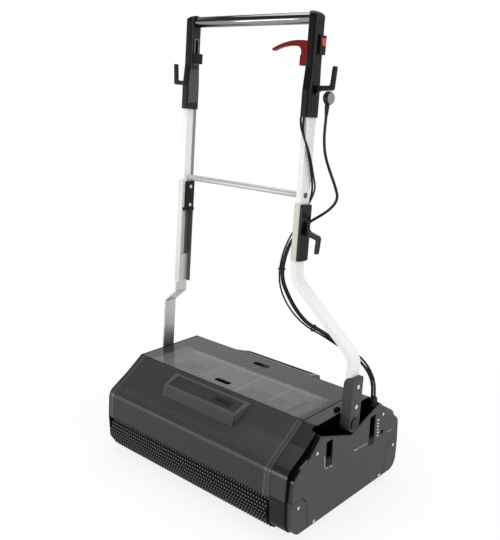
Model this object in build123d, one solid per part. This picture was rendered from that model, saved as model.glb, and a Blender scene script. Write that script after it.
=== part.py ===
"""Walk-behind carpet and floor sweeper with two contra-rotating brushes.

Units are millimetres. X runs along the brushes with the drive side at +X, Y runs to the rear and
Z up. Pieces are drawn about the middle of the covers, and each is moved along X as it is saved, so
that the origin lies on the floor under the middle of the overall width. The handle is drawn upright
and then leaned back about its pivot, so its own sizes are measured along the handle.
"""

from build123d import *
import math
import os

os.makedirs("parts", exist_ok=True)

# ---------------------------------------------------------------- driving dimensions
# Body between the side plates
body_length = 640.0
lid_half_depth = 122.0
lid_top = 277.0
shoulder = (178.0, 236.0)
bend = (250.0, 192.0)
face_y = 254.5
cover_bottom = 113.0
shoulder_radius = 60.0
bend_radius = 36.0
plate_bottom = 22.0
corner_radius = 34.0
shell = 4.0
lid_thickness = 3.5
seam = 1.5

# Side plates and drive housing
left_plate_thickness = 4.0
frame_plate_thickness = 5.0
housing_width = 45.0
step_width = 15.0
side_cover_thickness = 3.5
housing_wall = 5.0
slot_depth = 25.0
side_top = (137.0, 262.0)
side_waist = (182.0, 216.0)
side_brow = (216.0, 199.0)
side_corner = (242.0, 178.0)
side_face = (247.0, 113.0)
side_foot = (244.0, plate_bottom)
valley_z = 215.0
corner_cover_top = 119.7
corner_cover_y = 186.0

# Brushes, pick-up drum and their drive
brush_radius = 66.0
brush_core_radius = 40.0
brush_wall = 4.0
brush_y = 190.0
brush_end_gap = 3.0
bristle_inset = 1.5
bristle_rows = 16
bristle_root = 46.0
bristle_share = 0.7
drum_radius = 70.0
drum_tube_radius = 62.0
drum_wall = 3.0
drum_z = 88.0
drum_blades = 12
blade_share = 0.12
shaft_radius = 8.0
bearing_radius = 16.0
bearing_width = 8.0
gear_module = 4.0
pressure_angle = 25.0
gear_width = 12.0
gear_backlash = 0.3
drum_teeth = 24
brush_teeth = 17
front_idler_teeth = 28
rear_idler_teeth = 14
pinion_teeth = 12
idler_axle_radius = 6.0
motor_radius = 42.0
motor_length = 105.0
motor_shaft_radius = 6.0
motor_grooves = 8

# Tanks under the lid
tank_left_gap = 20.0
tank_motor_gap = 120.0
tank_half_depth = 119.0
tank_bottom = 177.0
tank_wall = 3.0
tank_split_y = 28.0
tank_gap = 4.0
rail_width = 5.0
rail_height = 14.0
rail_inset = 15.0
motor_side_rail_y = -75.0

# Handle, measured along the handle
pivot_z = 250.0
handle_lean = 3.5
pivot_radius = 10.0
left_pivot_radius = 8.0
pivot_cap_radius = 18.0
pivot_cap_thickness = 3.7
tube_width = 16.0
tube_depth = 38.0
tube_wall = 2.0
bracket_gap = 4.0
leg_inset = 10.0
right_top_x = 166.0
left_top_x = -284.0
leg_bend_low_z = 429.0
leg_bend_high_z = 599.0
leg_bend_radius = 45.0
leg_bottom_z = 292.0
bracket_width = 30.0
bracket_half_depth = 23.0
bracket_top_z = 380.0
bracket_round = 22.0
bracket_screw_z = (298.0, 354.0)
clamp_thickness = 6.0
clamp_screw_inset = (8.0, 20.0)
sleeve_bottom_z = 650.0
sleeve_top_z = 806.0
sleeve_wall = 2.0
tube_joint_z = 730.0
hook_cover_thickness = 7.0
bar_thickness = 5.0
bar_width = 43.0
bar_gap = 8.4
bar_fold_low_z = 428.0
bar_fold_high_z = 468.0
bar_top_z = 586.0
channel_sheet = 2.0
channel_flange = 17.5
channel_bottom_z = 499.0
channel_top_z = 820.0
tube_in_channel = 84.0
cross_bar_rise = 8.0
cross_bar_radius = 8.75
grip_z = 1280.0
grip_radius = 15.0
grip_wall = 2.0
housing_bottom_z = 1032.0
housing_waist_z = 1100.0
housing_neck_z = 1160.0
housing_foot = (30.0, 50.0)
housing_head = (29.0, 42.0)
housing_edge = 10.0
housing_elbow = 26.0
housing_crown = 3.0
tube_top_z = 1106.0
hook_reach = 74.0
hook_z = 1109.0
cord_hook_z = 735.0
hook_rise = 53.0
hook_bar = 9.5
hook_depth = 10.0
hook_splay = 4.0

# Fits and clearances
running_fit = 0.05
sliding_gap = 0.3
loose_gap = 0.2
seat_gap = 0.05

# Screws
screw_head_radius = 4.5
screw_head_height = 1.6
screw_shank_radius = 2.0
screw_hole_radius = 2.1

# ---------------------------------------------------------------- places worked out from these
plate_left = -body_length / 2 - 1.0
frame_x = body_length / 2 + 2.0
housing_x = frame_x + frame_plate_thickness
between_plates = (plate_left + seat_gap, frame_x - seat_gap)
step_x = housing_x + housing_width
side_x = step_x + step_width
side_face_x = side_x + side_cover_thickness
slot_x = side_x - slot_depth
brush_z = brush_radius * math.cos(math.pi * bristle_share / bristle_rows)
gear_x = housing_x + 4.0
lid_under = lid_top - lid_thickness
bracket_in = slot_x + bracket_gap
bracket_out = bracket_in + bracket_width
right_low_x = bracket_in + leg_inset
bar_low_x = plate_left - left_plate_thickness - bar_gap - bar_thickness / 2
left_tube_bottom_z = channel_top_z - tube_in_channel
clamp_screw_z = (left_tube_bottom_z + clamp_screw_inset[0], channel_top_z - clamp_screw_inset[1])
cross_bar_z = channel_top_z + cross_bar_rise
tank_left = -body_length / 2 + tank_left_gap
tank_right = body_length / 2 - tank_motor_gap
middle_x = (bracket_out + sliding_gap + pivot_cap_thickness + left_top_x - hook_reach) / 2
handle_axis = Axis((0, 0, pivot_z), (1, 0, 0))


# ---------------------------------------------------------------- helpers
def save(name, shape):
    """Write one piece to its own file, moved to the part's origin."""
    export_step(shape.moved(Location((-middle_x, 0, 0))), f"parts/{name}.step")


def group(solids):
    """Several loose solids as one piece."""
    return Compound(children=list(solids))


def on_yz(face, x_start, x_end):
    """Extrude a face drawn in Y and Z from one X to another."""
    return extrude(Plane.YZ.offset(x_start) * face, amount=x_end - x_start)


def on_xz(face, y_start, y_end):
    """Extrude a face drawn in X and Z from one Y to another."""
    return extrude(Plane.XZ.offset(-y_start) * face, amount=-(y_end - y_start))


def block(x_range, y_range, z_range):
    """A box between three pairs of limits."""
    sizes = [high - low for low, high in (x_range, y_range, z_range)]
    middle = [(high + low) / 2 for low, high in (x_range, y_range, z_range)]
    return Pos(*middle) * Box(*sizes)


def rod_x(radius, x_start, x_end, y, z):
    """A round bar along X."""
    return on_yz(Pos(y, z) * Circle(radius), x_start, x_end)


def pipe_x(outer, inner, x_start, x_end, y, z):
    """A round tube along X."""
    return on_yz(Pos(y, z) * (Circle(outer) - Circle(inner)), x_start, x_end)


def rounded(points, radii):
    """A closed face whose corners have the radii given."""
    return make_face(FilletPolyline(*points, radius=radii, close=True))


def mirrored(points, radii):
    """A closed face from its rear half, given from the top down, and its mirror image."""
    front = [(-y, z) for y, z in reversed(points)]
    return rounded(points + front, radii + list(reversed(radii)))


def lean(shape):
    """Turn an upright handle piece back to the handle's resting angle."""
    return shape.rotate(handle_axis, -handle_lean)


def lean_points(points):
    """The same turn for the points of a cord."""
    turn = math.radians(handle_lean)
    leaned = []
    for x, y, z in points:
        rise = z - pivot_z
        leaned.append(
            (
                x,
                y * math.cos(turn) + rise * math.sin(turn),
                pivot_z - y * math.sin(turn) + rise * math.cos(turn),
            )
        )
    return leaned


def swept_bar(points, radius, width, depth, wall=0.0):
    """A rectangular bar or tube along a bent line in X and Z."""
    path = FilletPolyline(*[(x, 0, z) for x, z in points], radius=radius)
    start = Plane((points[0][0], 0, points[0][1]), x_dir=(1, 0, 0), z_dir=(0, 0, 1))
    bar = sweep(start * Rectangle(width, depth), path)
    if wall:
        bar -= sweep(start * Rectangle(width - 2 * wall, depth - 2 * wall), path)
    return bar


def screw_x(x, y, z, reach, head=screw_head_radius):
    """A screw whose head faces +X and lies on a face at x."""
    seat = x + seat_gap
    body = rod_x(head, seat, seat + screw_head_height, y, z)
    return body + rod_x(screw_shank_radius, x - reach, seat, y, z)


def cord_radius(before, corner, after):
    """A bend radius that fits between the two runs of a cord's corner."""
    first = Vector(*corner) - Vector(*before)
    second = Vector(*after) - Vector(*corner)
    turn = math.radians(first.get_angle(second))
    return 0.45 * min(first.length, second.length) / math.tan(turn / 2)


def cord(name, points, diameter):
    """A cord as straight runs and tangent arcs, with an eight-sided section that stays plain."""
    radii = [cord_radius(*points[i : i + 3]) for i in range(len(points) - 2)]
    path = FilletPolyline(*points, radius=radii)
    start = Plane(path @ 0, z_dir=path % 0)
    section = RegularPolygon(diameter / 2, cord_sides)
    tube = sweep(start * section, path)
    share = tube.volume / (section.area * path.length)
    print(f"{name}: length {path.length:.1f}, volume over section times length {share:.4f}")
    print(f"{name}: bend radii", [round(radius) for radius in radii])
    save(name, tube)


def circle_meeting(first, first_reach, second, second_reach):
    """The upper point at two given distances from two centres."""
    dy = second[0] - first[0]
    dz = second[1] - first[1]
    gap = math.hypot(dy, dz)
    along = (first_reach**2 - second_reach**2 + gap**2) / (2 * gap)
    aside = math.sqrt(first_reach**2 - along**2)
    side = math.copysign(1.0, dy)
    return (
        first[0] + along * dy / gap - side * aside * dz / gap,
        first[1] + along * dz / gap + side * aside * dy / gap,
    )


# ---------------------------------------------------------------- outlines
cover_line = [(lid_half_depth, lid_top), shoulder, bend, (face_y, cover_bottom)]
body_outline = mirrored(
    cover_line + [(face_y - 5.0, plate_bottom)],
    [6.0, shoulder_radius, bend_radius, 0.0, corner_radius],
)
valley = [(-side_top[0], side_top[1]), (0.0, valley_z), side_top]


def side_outline():
    """The drive side's outline, with its V for the handle."""
    rear = [side_top, side_waist, side_brow, side_corner, side_face, side_foot]
    radii = [3.0, 34.0, 34.0, 22.0, 0.0, corner_radius]
    front = [(-y, z) for y, z in reversed(rear)]
    points = [(0.0, valley_z)] + rear + front
    return rounded(points, [8.0] + radii + list(reversed(radii)))


def corner_region(end, grow=0.0):
    """The area of a removable corner cover; end is -1 at the front and +1 at the rear."""
    far = face_y + 20.0
    inner = corner_cover_y - grow
    top = corner_cover_top + grow
    points = [
        (far, top),
        (inner + 20.0, top),
        (inner + 3.0, top - 18.0),
        (inner - 7.0, plate_bottom - 10.0),
        (far, plate_bottom - 10.0),
    ]
    return rounded([(end * y, z) for y, z in points], [0.0, 8.0, 12.0, 0.0, 0.0])


def toothed(count, root, tip, share, turn=0.0):
    """A disc with straight radial blocks, for bristle strips and drum blades."""
    face = Circle(root)
    half = math.pi * share / count
    flat = tip * math.cos(half)
    tooth = Pos((root - 2.0 + flat) / 2, 0) * Rectangle(flat - root + 2.0, 2 * tip * math.sin(half))
    for index in range(count):
        face += Rot(0, 0, turn + index * 360 / count) * tooth
    return face


# ---------------------------------------------------------------- gears
def involute(angle):
    """The involute function of an angle in radians."""
    return math.tan(angle) - angle


def pitch_radius(teeth):
    """Half the pitch diameter."""
    return gear_module * teeth / 2


def gear_face(teeth, bore, turn):
    """A spur gear's outline with one tooth centred at the angle turn, in radians."""
    pitch = pitch_radius(teeth)
    base = pitch * math.cos(math.radians(pressure_angle))
    tip = pitch + 0.9 * gear_module
    root = pitch - 1.2 * gear_module
    at_pitch = (math.pi / 2 - gear_backlash / gear_module) / teeth
    spread = at_pitch + involute(math.radians(pressure_angle))
    flank = []
    steps = 3
    low = max(base, root)
    for step in range(steps + 1):
        radius = low + (tip - low) * step / steps
        flank.append((radius, spread - involute(math.acos(base / radius))))
    if base > root:
        flank.insert(0, (root, flank[0][1]))
    points = []
    for tooth in range(teeth):
        middle = turn + 2 * math.pi * tooth / teeth
        for radius, half in flank:
            points.append((radius * math.cos(middle - half), radius * math.sin(middle - half)))
        for radius, half in reversed(flank):
            points.append((radius * math.cos(middle + half), radius * math.sin(middle + half)))
    return make_face(Polyline(*points, close=True)) - Circle(bore)


def meshing_turn(driver, driver_teeth, driver_turn, driven, driven_teeth):
    """The angle of a tooth of the driven gear that sits in mesh with the driver."""
    heading = math.atan2(driven[1] - driver[1], driven[0] - driver[0])
    phase = (heading - driver_turn) * driver_teeth / (2 * math.pi)
    return heading + math.pi - 2 * math.pi * (0.5 - phase) / driven_teeth


def gear(teeth, bore, centre, turn):
    """A gear in the drive chamber."""
    face = Pos(*centre) * gear_face(teeth, bore, turn)
    return on_yz(face, gear_x, gear_x + gear_width)


drum_centre = (0.0, drum_z)
front_brush = (-brush_y, brush_z)
rear_brush = (brush_y, brush_z)
drum_pitch = pitch_radius(drum_teeth)
brush_pitch = pitch_radius(brush_teeth)
front_idler_pitch = pitch_radius(front_idler_teeth)
rear_idler_pitch = pitch_radius(rear_idler_teeth)
idler_1 = circle_meeting(
    drum_centre, drum_pitch + front_idler_pitch, front_brush, brush_pitch + front_idler_pitch
)
second_idler_lift = math.radians(1.0)
idler_2 = (
    (drum_pitch + rear_idler_pitch) * math.cos(second_idler_lift),
    drum_z + (drum_pitch + rear_idler_pitch) * math.sin(second_idler_lift),
)
idler_3 = circle_meeting(
    idler_2, 2 * rear_idler_pitch, rear_brush, brush_pitch + rear_idler_pitch
)
pinion_lift = math.radians(110.0)
pinion_reach = front_idler_pitch + pitch_radius(pinion_teeth)
pinion = (
    idler_1[0] + pinion_reach * math.cos(pinion_lift),
    idler_1[1] + pinion_reach * math.sin(pinion_lift),
)


def drive_train():
    """The seven gears in mesh, from the drum's gear outwards."""
    drum_turn = 0.0
    turn_1 = meshing_turn(drum_centre, drum_teeth, drum_turn, idler_1, front_idler_teeth)
    front_turn = meshing_turn(idler_1, front_idler_teeth, turn_1, front_brush, brush_teeth)
    turn_2 = meshing_turn(drum_centre, drum_teeth, drum_turn, idler_2, rear_idler_teeth)
    turn_3 = meshing_turn(idler_2, rear_idler_teeth, turn_2, idler_3, rear_idler_teeth)
    rear_turn = meshing_turn(idler_3, rear_idler_teeth, turn_3, rear_brush, brush_teeth)
    pinion_turn = meshing_turn(idler_1, front_idler_teeth, turn_1, pinion, pinion_teeth)
    bore = idler_axle_radius + running_fit
    save("drum_gear", gear(drum_teeth, shaft_radius, drum_centre, drum_turn))
    save("front_brush_gear", gear(brush_teeth, shaft_radius, front_brush, front_turn))
    save("rear_brush_gear", gear(brush_teeth, shaft_radius, rear_brush, rear_turn))
    save("idler_gear_1", gear(front_idler_teeth, bore, idler_1, turn_1))
    save("idler_gear_2", gear(rear_idler_teeth, bore, idler_2, turn_2))
    save("idler_gear_3", gear(rear_idler_teeth, bore, idler_3, turn_3))
    wheel = gear(pinion_teeth, motor_shaft_radius - 1.0, pinion, pinion_turn)
    shaft = rod_x(motor_shaft_radius, frame_x - 30.0, gear_x + gear_width, *pinion)
    save("motor_pinion", wheel + shaft)


# ---------------------------------------------------------------- frame
def side_frames():
    """The two side plates, the bearings in them and the posts for the corner covers."""
    left = on_yz(body_outline, plate_left - left_plate_thickness, plate_left)
    right = on_yz(offset(body_outline, -housing_wall - sliding_gap), frame_x, housing_x)
    for y, z in (front_brush, rear_brush, drum_centre):
        left -= rod_x(bearing_radius, plate_left - 10, plate_left + 1, y, z)
        right -= rod_x(bearing_radius, frame_x - 1, housing_x + 1, y, z)
    left -= rod_x(left_pivot_radius, plate_left - 10, plate_left + 1, 0, pivot_z)
    right -= rod_x(motor_shaft_radius + 1.0, frame_x - 1, housing_x + 1, *pinion)
    for y, z in (idler_1, idler_2, idler_3):
        right -= rod_x(idler_axle_radius, frame_x - 1, housing_x + 1, y, z)
    for end in (-1, 1):
        y, z = end * corner_screw[0], corner_screw[1]
        post = pipe_x(6.0, screw_hole_radius, housing_x, side_face_x - shell, y, z)
        right += post
    for y, z, _, _ in hinge_places():
        left -= rod_x(hinge_pin_radius, plate_left - 10, plate_left + 1, y, z)
        right -= rod_x(hinge_pin_radius, frame_x - 1, housing_x + 1, y, z)
    save("left_side_plate", left)
    save("right_frame_plate", right)


def bearings():
    """Six ring bearings for the brushes and the drum."""
    rings = []
    middle_left = plate_left - left_plate_thickness / 2
    middle_right = frame_x + frame_plate_thickness / 2
    for middle in (middle_left, middle_right):
        for y, z in (front_brush, rear_brush, drum_centre):
            ends = (middle - bearing_width / 2, middle + bearing_width / 2)
            rings.append(pipe_x(bearing_radius, shaft_radius + running_fit, *ends, y, z))
    save("shaft_bearings", group(rings))


tie_rod_radius = 6.0
upper_rod = (150.0, 218.0)
lower_rod = (84.0, 30.0)


def tie_rods():
    """Four rods that hold the two side plates apart."""
    places = [(end * y, z) for end in (-1, 1) for y, z in (upper_rod, lower_rod)]
    rods = [rod_x(tie_rod_radius, *between_plates, y, z) for y, z in places]
    save("tie_rods", group(rods))


def tank_rails():
    """Four flat bars on edge, two under each tank."""
    split_rear = tank_split_y + tank_gap
    places = (motor_side_rail_y, tank_split_y - rail_inset, split_rear + rail_inset)
    rails = []
    for y in (*places, tank_half_depth - rail_inset):
        edges = (y - rail_width / 2, y + rail_width / 2)
        rails.append(block(between_plates, edges, (tank_bottom - rail_height, tank_bottom)))
    save("tank_rails", group(rails))


def drive_motor():
    """The motor, flanged to the inside of the right frame plate."""
    body = rod_x(motor_radius, frame_x - motor_length, frame_x - 6.0, *pinion)
    flange = rod_x(motor_radius - 4.0, frame_x - 6.0, frame_x, *pinion)
    tail = rod_x(14.0, frame_x - motor_length - 10.0, frame_x - motor_length, *pinion)
    bore = rod_x(motor_shaft_radius + running_fit, frame_x - 31.0, frame_x + 1, *pinion)
    motor = body + flange + tail
    for index in range(motor_grooves):
        turn = 2 * math.pi * index / motor_grooves
        y = pinion[0] + motor_radius * math.cos(turn)
        z = pinion[1] + motor_radius * math.sin(turn)
        motor -= rod_x(2.5, frame_x - motor_length - 1, frame_x - 12.0, y, z)
    save("drive_motor", motor - bore)


def chassis_pins():
    """Fixed axles for the idler gears and hinge pins for the two covers."""
    pins = []
    for y, z in (idler_1, idler_2, idler_3):
        pins.append(rod_x(idler_axle_radius, frame_x, gear_x + gear_width + 2, y, z))
    for y, z, x_in, x_out in hinge_places():
        pins.append(rod_x(hinge_pin_radius, -x_out, -x_in, y, z))
        pins.append(rod_x(hinge_pin_radius, x_in, x_out, y, z))
    save("chassis_pins", group(pins))


# ---------------------------------------------------------------- drive side
corner_screw = (223.5, 100.0)
upper_screw = (154.3, 222.4)
lower_screw = (155.5, 30.0)
adjuster_half_width = 14.5
front_adjuster_slot = (-100.0, 166.0, 238.0)
rear_adjuster_slot = (103.0, 147.0, 235.0)
adjuster_knob_height = 17.0
reset_place = (156.0, 166.0)
reset_radius = 7.0
latch_place = (slot_x - 15.0, -12.0)
latch_size = (12.0, 18.0)
latch_rise = 7.0


def latch_face(grow):
    """The latch button's outline from above, grown by a given amount."""
    size = [width + 2 * grow for width in latch_size]
    return Pos(*latch_place) * RectangleRounded(*size, 3.0 + grow)


def drive_housing():
    """The moulded housing over the gears, with the slot that the handle swings in."""
    body = on_yz(body_outline, frame_x, step_x)
    above = [valley[1], valley[2], (side_top[0], lid_top + 20), (-side_top[0], lid_top + 20)]
    slot = make_face(Polyline(*above, valley[0], close=True))
    body -= on_yz(slot, slot_x, step_x + 1)
    body += on_yz(side_outline(), step_x, side_x)
    inner = offset(body_outline, -housing_wall)
    body -= on_yz(inner, frame_x, slot_x - housing_wall)
    rim = offset(side_outline(), -shell)
    body -= on_yz(rim, slot_x, side_x)
    for y, z in (upper_screw, lower_screw):
        for end in (-1, 1):
            body += rod_x(6.0, slot_x - 0.5, side_x, end * y, z)
            body -= rod_x(screw_hole_radius, side_x - 12.0, side_x + 1, end * y, z)
    body += rod_x(reset_radius + 4.0, slot_x - 0.5, side_x - 3.0, *reset_place)
    body -= rod_x(reset_radius + running_fit, side_x - 16.0, side_x, *reset_place)
    body -= rod_x(pivot_radius, slot_x - housing_wall - 1, slot_x + 1, 0, pivot_z)
    body -= extrude(Plane.XY.offset(lid_top - 20) * latch_face(sliding_gap), amount=30)
    for end in (-1, 1):
        body -= on_yz(corner_region(end), frame_x - 1, side_x + 1)
    save("drive_housing", body)


def side_cover():
    """The flat outer cover with its two adjuster slots."""
    cover = on_yz(side_outline(), side_x, side_face_x)
    for y, low, high in (front_adjuster_slot, rear_adjuster_slot):
        face = rounded(
            [
                (y - adjuster_half_width, low),
                (y + adjuster_half_width, low),
                (y + adjuster_half_width, high),
                (y - adjuster_half_width, high),
            ],
            [2.0] * 4,
        )
        cover -= on_yz(face, side_x - 1, side_face_x + 1)
    for y, z in (upper_screw, lower_screw):
        for end in (-1, 1):
            cover -= rod_x(screw_hole_radius, side_x - 1, side_face_x + 1, end * y, z)
    cover -= rod_x(reset_radius + 0.5, side_x - 1, side_face_x + 1, *reset_place)
    for end in (-1, 1):
        cover -= on_yz(corner_region(end), side_x - 1, side_face_x + 1)
    save("side_cover", cover)


def corner_cover(name, end):
    """A removable cap over the brush's end at one corner."""
    region = corner_region(end, -seam)
    narrow = side_outline()
    inside = offset(narrow, -shell)
    cap = on_yz((body_outline - offset(body_outline, -shell)) & region, frame_x, step_x)
    cap += on_yz((body_outline - inside) & region, step_x - shell, step_x)
    cap += on_yz((narrow - inside) & region, step_x, side_face_x)
    cap += on_yz(narrow & region, side_face_x - shell, side_face_x)
    y, z = end * corner_screw[0], corner_screw[1]
    cap -= rod_x(screw_hole_radius, side_x - 10, side_face_x + 1, y, z)
    save(name, cap)


def cover_screws():
    """The screws of the side cover and of the two corner covers."""
    screws = []
    for end in (-1, 1):
        screws.append(screw_x(side_face_x, end * upper_screw[0], upper_screw[1], 12.0))
        screws.append(screw_x(side_face_x, end * lower_screw[0], lower_screw[1], 12.0))
        screws.append(screw_x(side_face_x, end * corner_screw[0], corner_screw[1], 14.0))
    save("cover_screws", group(screws))


def adjusters():
    """Two knobs that slide up their slots to set the brush height."""
    places = (("front_adjuster", front_adjuster_slot), ("rear_adjuster", rear_adjuster_slot))
    for name, (y, low, _) in places:
        half = adjuster_half_width - 2.0
        bottom = low + 2.0
        top = bottom + adjuster_knob_height
        knob = block((slot_x + sliding_gap, side_face_x - 1.0), (y - half, y + half), (bottom, top))
        behind = (side_x - sliding_gap - 4.0, side_x - sliding_gap)
        knob += block(behind, (y - half - 5.0, y + half + 5.0), (bottom - 4.0, top + 4.0))
        for rib in range(3):
            z = bottom + 4.0 + rib * 4.5
            knob -= block((side_x + 0.5, side_face_x), (y - half - 1, y + half + 1), (z, z + 1.6))
        save(name, knob)


def buttons():
    """The overload reset button and the handle's latch button."""
    x_out = side_face_x - 1.0
    save("reset_button", rod_x(reset_radius, side_x - 13.0, x_out, *reset_place))
    collar_z = lid_top - housing_wall - sliding_gap
    key = latch_face(0.0)
    stem = extrude(Plane.XY.offset(collar_z - 8.0) * key, amount=lid_top + latch_rise - collar_z + 8.0)
    stem = chamfer(stem.edges().group_by(Axis.Z)[-1], 1.5)
    collar = extrude(Plane.XY.offset(collar_z - 3.0) * latch_face(3.0), amount=3.0)
    save("latch_button", stem + collar)


def cable_gland():
    """The strain relief that the cords enter at the rear of the handle slot."""
    x, y = gland_place
    foot = valley_z + (side_top[1] - valley_z) * (y - gland_radius) / side_top[0]
    cone = Pos(x, y, foot - 3.0) * Cylinder(
        gland_radius, gland_top - 8.0 - foot + 3.0, align=(Align.CENTER, Align.CENTER, Align.MIN)
    )
    neck = Pos(x, y, gland_top - 8.0) * Cone(
        gland_radius, gland_radius - 1.5, 8.0, align=(Align.CENTER, Align.CENTER, Align.MIN)
    )
    relief = cone + neck
    for index in range(2):
        groove = Pos(x, y, foot + 8.0 + index * 5.0) * (
            Cylinder(gland_radius + 2, 1.6) - Cylinder(gland_radius - 1.2, 1.6)
        )
        relief -= groove
    below = [(0, valley_z), side_top, (side_top[0], 100), (0, 100)]
    wedge = on_yz(make_face(Polyline(*below, close=True)), slot_x - 20, side_face_x + 20)
    save("cable_gland", relief - wedge)


gland_place = (slot_x + 13.5, 124.0)
gland_radius = 10.5
gland_top = 279.0


def pivot_stubs():
    """The two stub axles that the handle turns on, with their caps."""
    right = rod_x(pivot_radius, slot_x - housing_wall, bracket_out + sliding_gap, 0, pivot_z)
    cap = rod_x(
        pivot_cap_radius,
        bracket_out + sliding_gap,
        bracket_out + sliding_gap + pivot_cap_thickness,
        0,
        pivot_z,
    )
    right += chamfer(cap.edges().sort_by(Axis.X)[-1], 1.2)
    bar_out = bar_low_x - bar_thickness / 2 - sliding_gap
    left = rod_x(left_pivot_radius, bar_out, plate_left, 0, pivot_z)
    left += rod_x(left_pivot_radius + 6.0, bar_out - 3.0, bar_out, 0, pivot_z)
    spacer_end = bar_low_x + bar_thickness / 2 + sliding_gap
    left += rod_x(
        left_pivot_radius + 5.0, spacer_end, plate_left - left_plate_thickness, 0, pivot_z
    )
    save("pivot_stubs", group([right, left]))


# ---------------------------------------------------------------- covers, lid and tanks
hinge_pin_radius = 3.0
hinge_eye_radius = 6.0
hinge_y = face_y - 9.0
hinge_z = cover_bottom + 9.0
hinge_eye_length = 10.0
cover_draft = (face_y - bend[0]) / (bend[1] - cover_bottom)
rib_count = 22
rib_reach = 108.0
rib_height = 1.1
rib_margin = 24.0
rib_root = 0.5
bead_inset = 12.0
bead_width = 6.0
bead_height = 1.5
grip_half_length = 149.0
grip_setback = 11.0
grip_drop = 5.0
grip_edge = (191.0, 252.5)
grip_foot = (201.0, 217.0)
grip_root = 22.0
grip_taper = 9.0
grip_rim = 8.0
grip_dish = 3.0
finger_slot = (60.0, 20.0)
front_finger_y = -90.0
rear_finger_y = 80.0


def hinge_places():
    """Y, Z and the inner and outer X of each cover's hinge pins."""
    x_in = body_length / 2 - hinge_eye_length + 2.0
    x_out = housing_x + 1.0
    return [(-hinge_y, hinge_z, x_in, x_out), (hinge_y, hinge_z, x_in, x_out)]


def under_cover(inset):
    """The area under a rear cover's outer line, moved in by inset."""
    run_on = 60.0
    rise = run_on * (lid_top - shoulder[1]) / (shoulder[0] - lid_half_depth)
    top = (lid_half_depth - run_on, lid_top + rise)
    foot = (face_y + cover_draft * run_on, cover_bottom - run_on)
    radii = [0.0, shoulder_radius, bend_radius, 0.0, 0.0]
    face = rounded([top, shoulder, bend, foot, (top[0], foot[1])], radii)
    return offset(face, -inset) if inset else face


def cover_window(near):
    """The area that a rear cover may fill, from near outwards."""
    width = 200.0
    height = lid_top - cover_bottom
    return Pos(near + width / 2, cover_bottom + height / 2) * Rectangle(width, height)


def cover_ribs():
    """Fine ribs that follow a rear cover's outer line up from its lower edge, round the bend."""
    line = FilletPolyline((face_y, cover_bottom), bend, shoulder, radius=bend_radius)
    pitch = rib_reach / rib_count
    ribs = Sketch()
    for index in range(rib_count):
        share = (index + 0.5) * pitch / line.length
        along = (line % share) * (0.3 * pitch)
        out = Vector(along.Y, -along.X).normalized()
        foot = (line @ share) - out * rib_root
        ribs += make_face(Polyline(foot - along, (line @ share) + out * rib_height, foot + along, close=True))
    return ribs


def curved_cover(name, end):
    """A front or rear cover: a thin curved shell with beads, fine ribs and hinge eyes."""
    half = body_length / 2
    near = lid_half_depth + seam
    skin = (under_cover(0.0) - under_cover(shell)) & cover_window(near)
    bead = (under_cover(-bead_height) - under_cover(shell)) & cover_window(near + bead_width)
    cover = on_yz(skin, -half, half)
    cover += on_yz(cover_ribs(), -half + rib_margin, half - rib_margin)
    for x in (-half + bead_inset, half - bead_inset - bead_width):
        cover += on_yz(bead, x, x + bead_width)
    for x in (-half, half - hinge_eye_length):
        x_end = x + hinge_eye_length
        height = (hinge_z - hinge_eye_radius, hinge_z + hinge_eye_radius)
        cover += block((x, x_end), (hinge_y, face_y - shell / 2), height)
        cover += rod_x(hinge_eye_radius, x, x_end, hinge_y, hinge_z)
        cover -= rod_x(hinge_pin_radius + running_fit, x - 1, x_end + 1, hinge_y, hinge_z)
    save(name, cover if end > 0 else mirror(cover, about=Plane.XZ))


def cover_grip(name, end):
    """The wedge-shaped hand grip on top of a cover, open underneath at the front."""
    near = lid_half_depth + grip_setback
    far = grip_foot[0] + 1.0
    top = lid_top - grip_drop
    half = grip_half_length
    outer = [(near, top), grip_edge, grip_foot, (near, grip_foot[1] - grip_root)]
    wedge = on_yz(rounded(outer, [2.0, 5.0, 0.0, 0.0]), -half, half)
    plan = [(-half, near), (half, near), (half - grip_taper, far), (-half + grip_taper, far)]
    wedge = wedge & extrude(make_face(Polyline(*plan, close=True)), amount=lid_top)
    wedge -= on_yz(under_cover(0.0), -half - 1, half + 1)
    slope = (top - grip_edge[1]) / (grip_edge[0] - near)
    inner = (near + grip_rim, grip_edge[0] - grip_rim)
    floor = [top - slope * (y - near) - grip_dish for y in inner]
    dish = [(inner[0], floor[0]), (inner[1], floor[1]), (inner[1], lid_top), (inner[0], lid_top)]
    reach = half - grip_taper - grip_rim
    wedge -= on_yz(make_face(Polyline(*dish, close=True)), -reach, reach)
    save(name, wedge if end > 0 else mirror(wedge, about=Plane.XZ))


def lid():
    """The flat lift-off lid with two finger slots and a locating rib at each end."""
    half = body_length / 2 - seam
    plate = block(
        (-half, half), (-lid_half_depth + seam, lid_half_depth - seam), (lid_under, lid_top)
    )
    plate = fillet(plate.edges().filter_by(Axis.Z), 6.0)
    for y in (front_finger_y, rear_finger_y):
        face = Pos(0, y) * SlotOverall(*finger_slot)
        plate -= extrude(Plane.XY.offset(lid_under - 1) * face, amount=lid_thickness + 2)
    for side in (-1, 1):
        x = side * (half - 5.0)
        plate += block((x - 1.5, x + 1.5), (-100.0, 100.0), (lid_under - 8.0, lid_under + 0.5))
    save("lid", plate)


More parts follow.
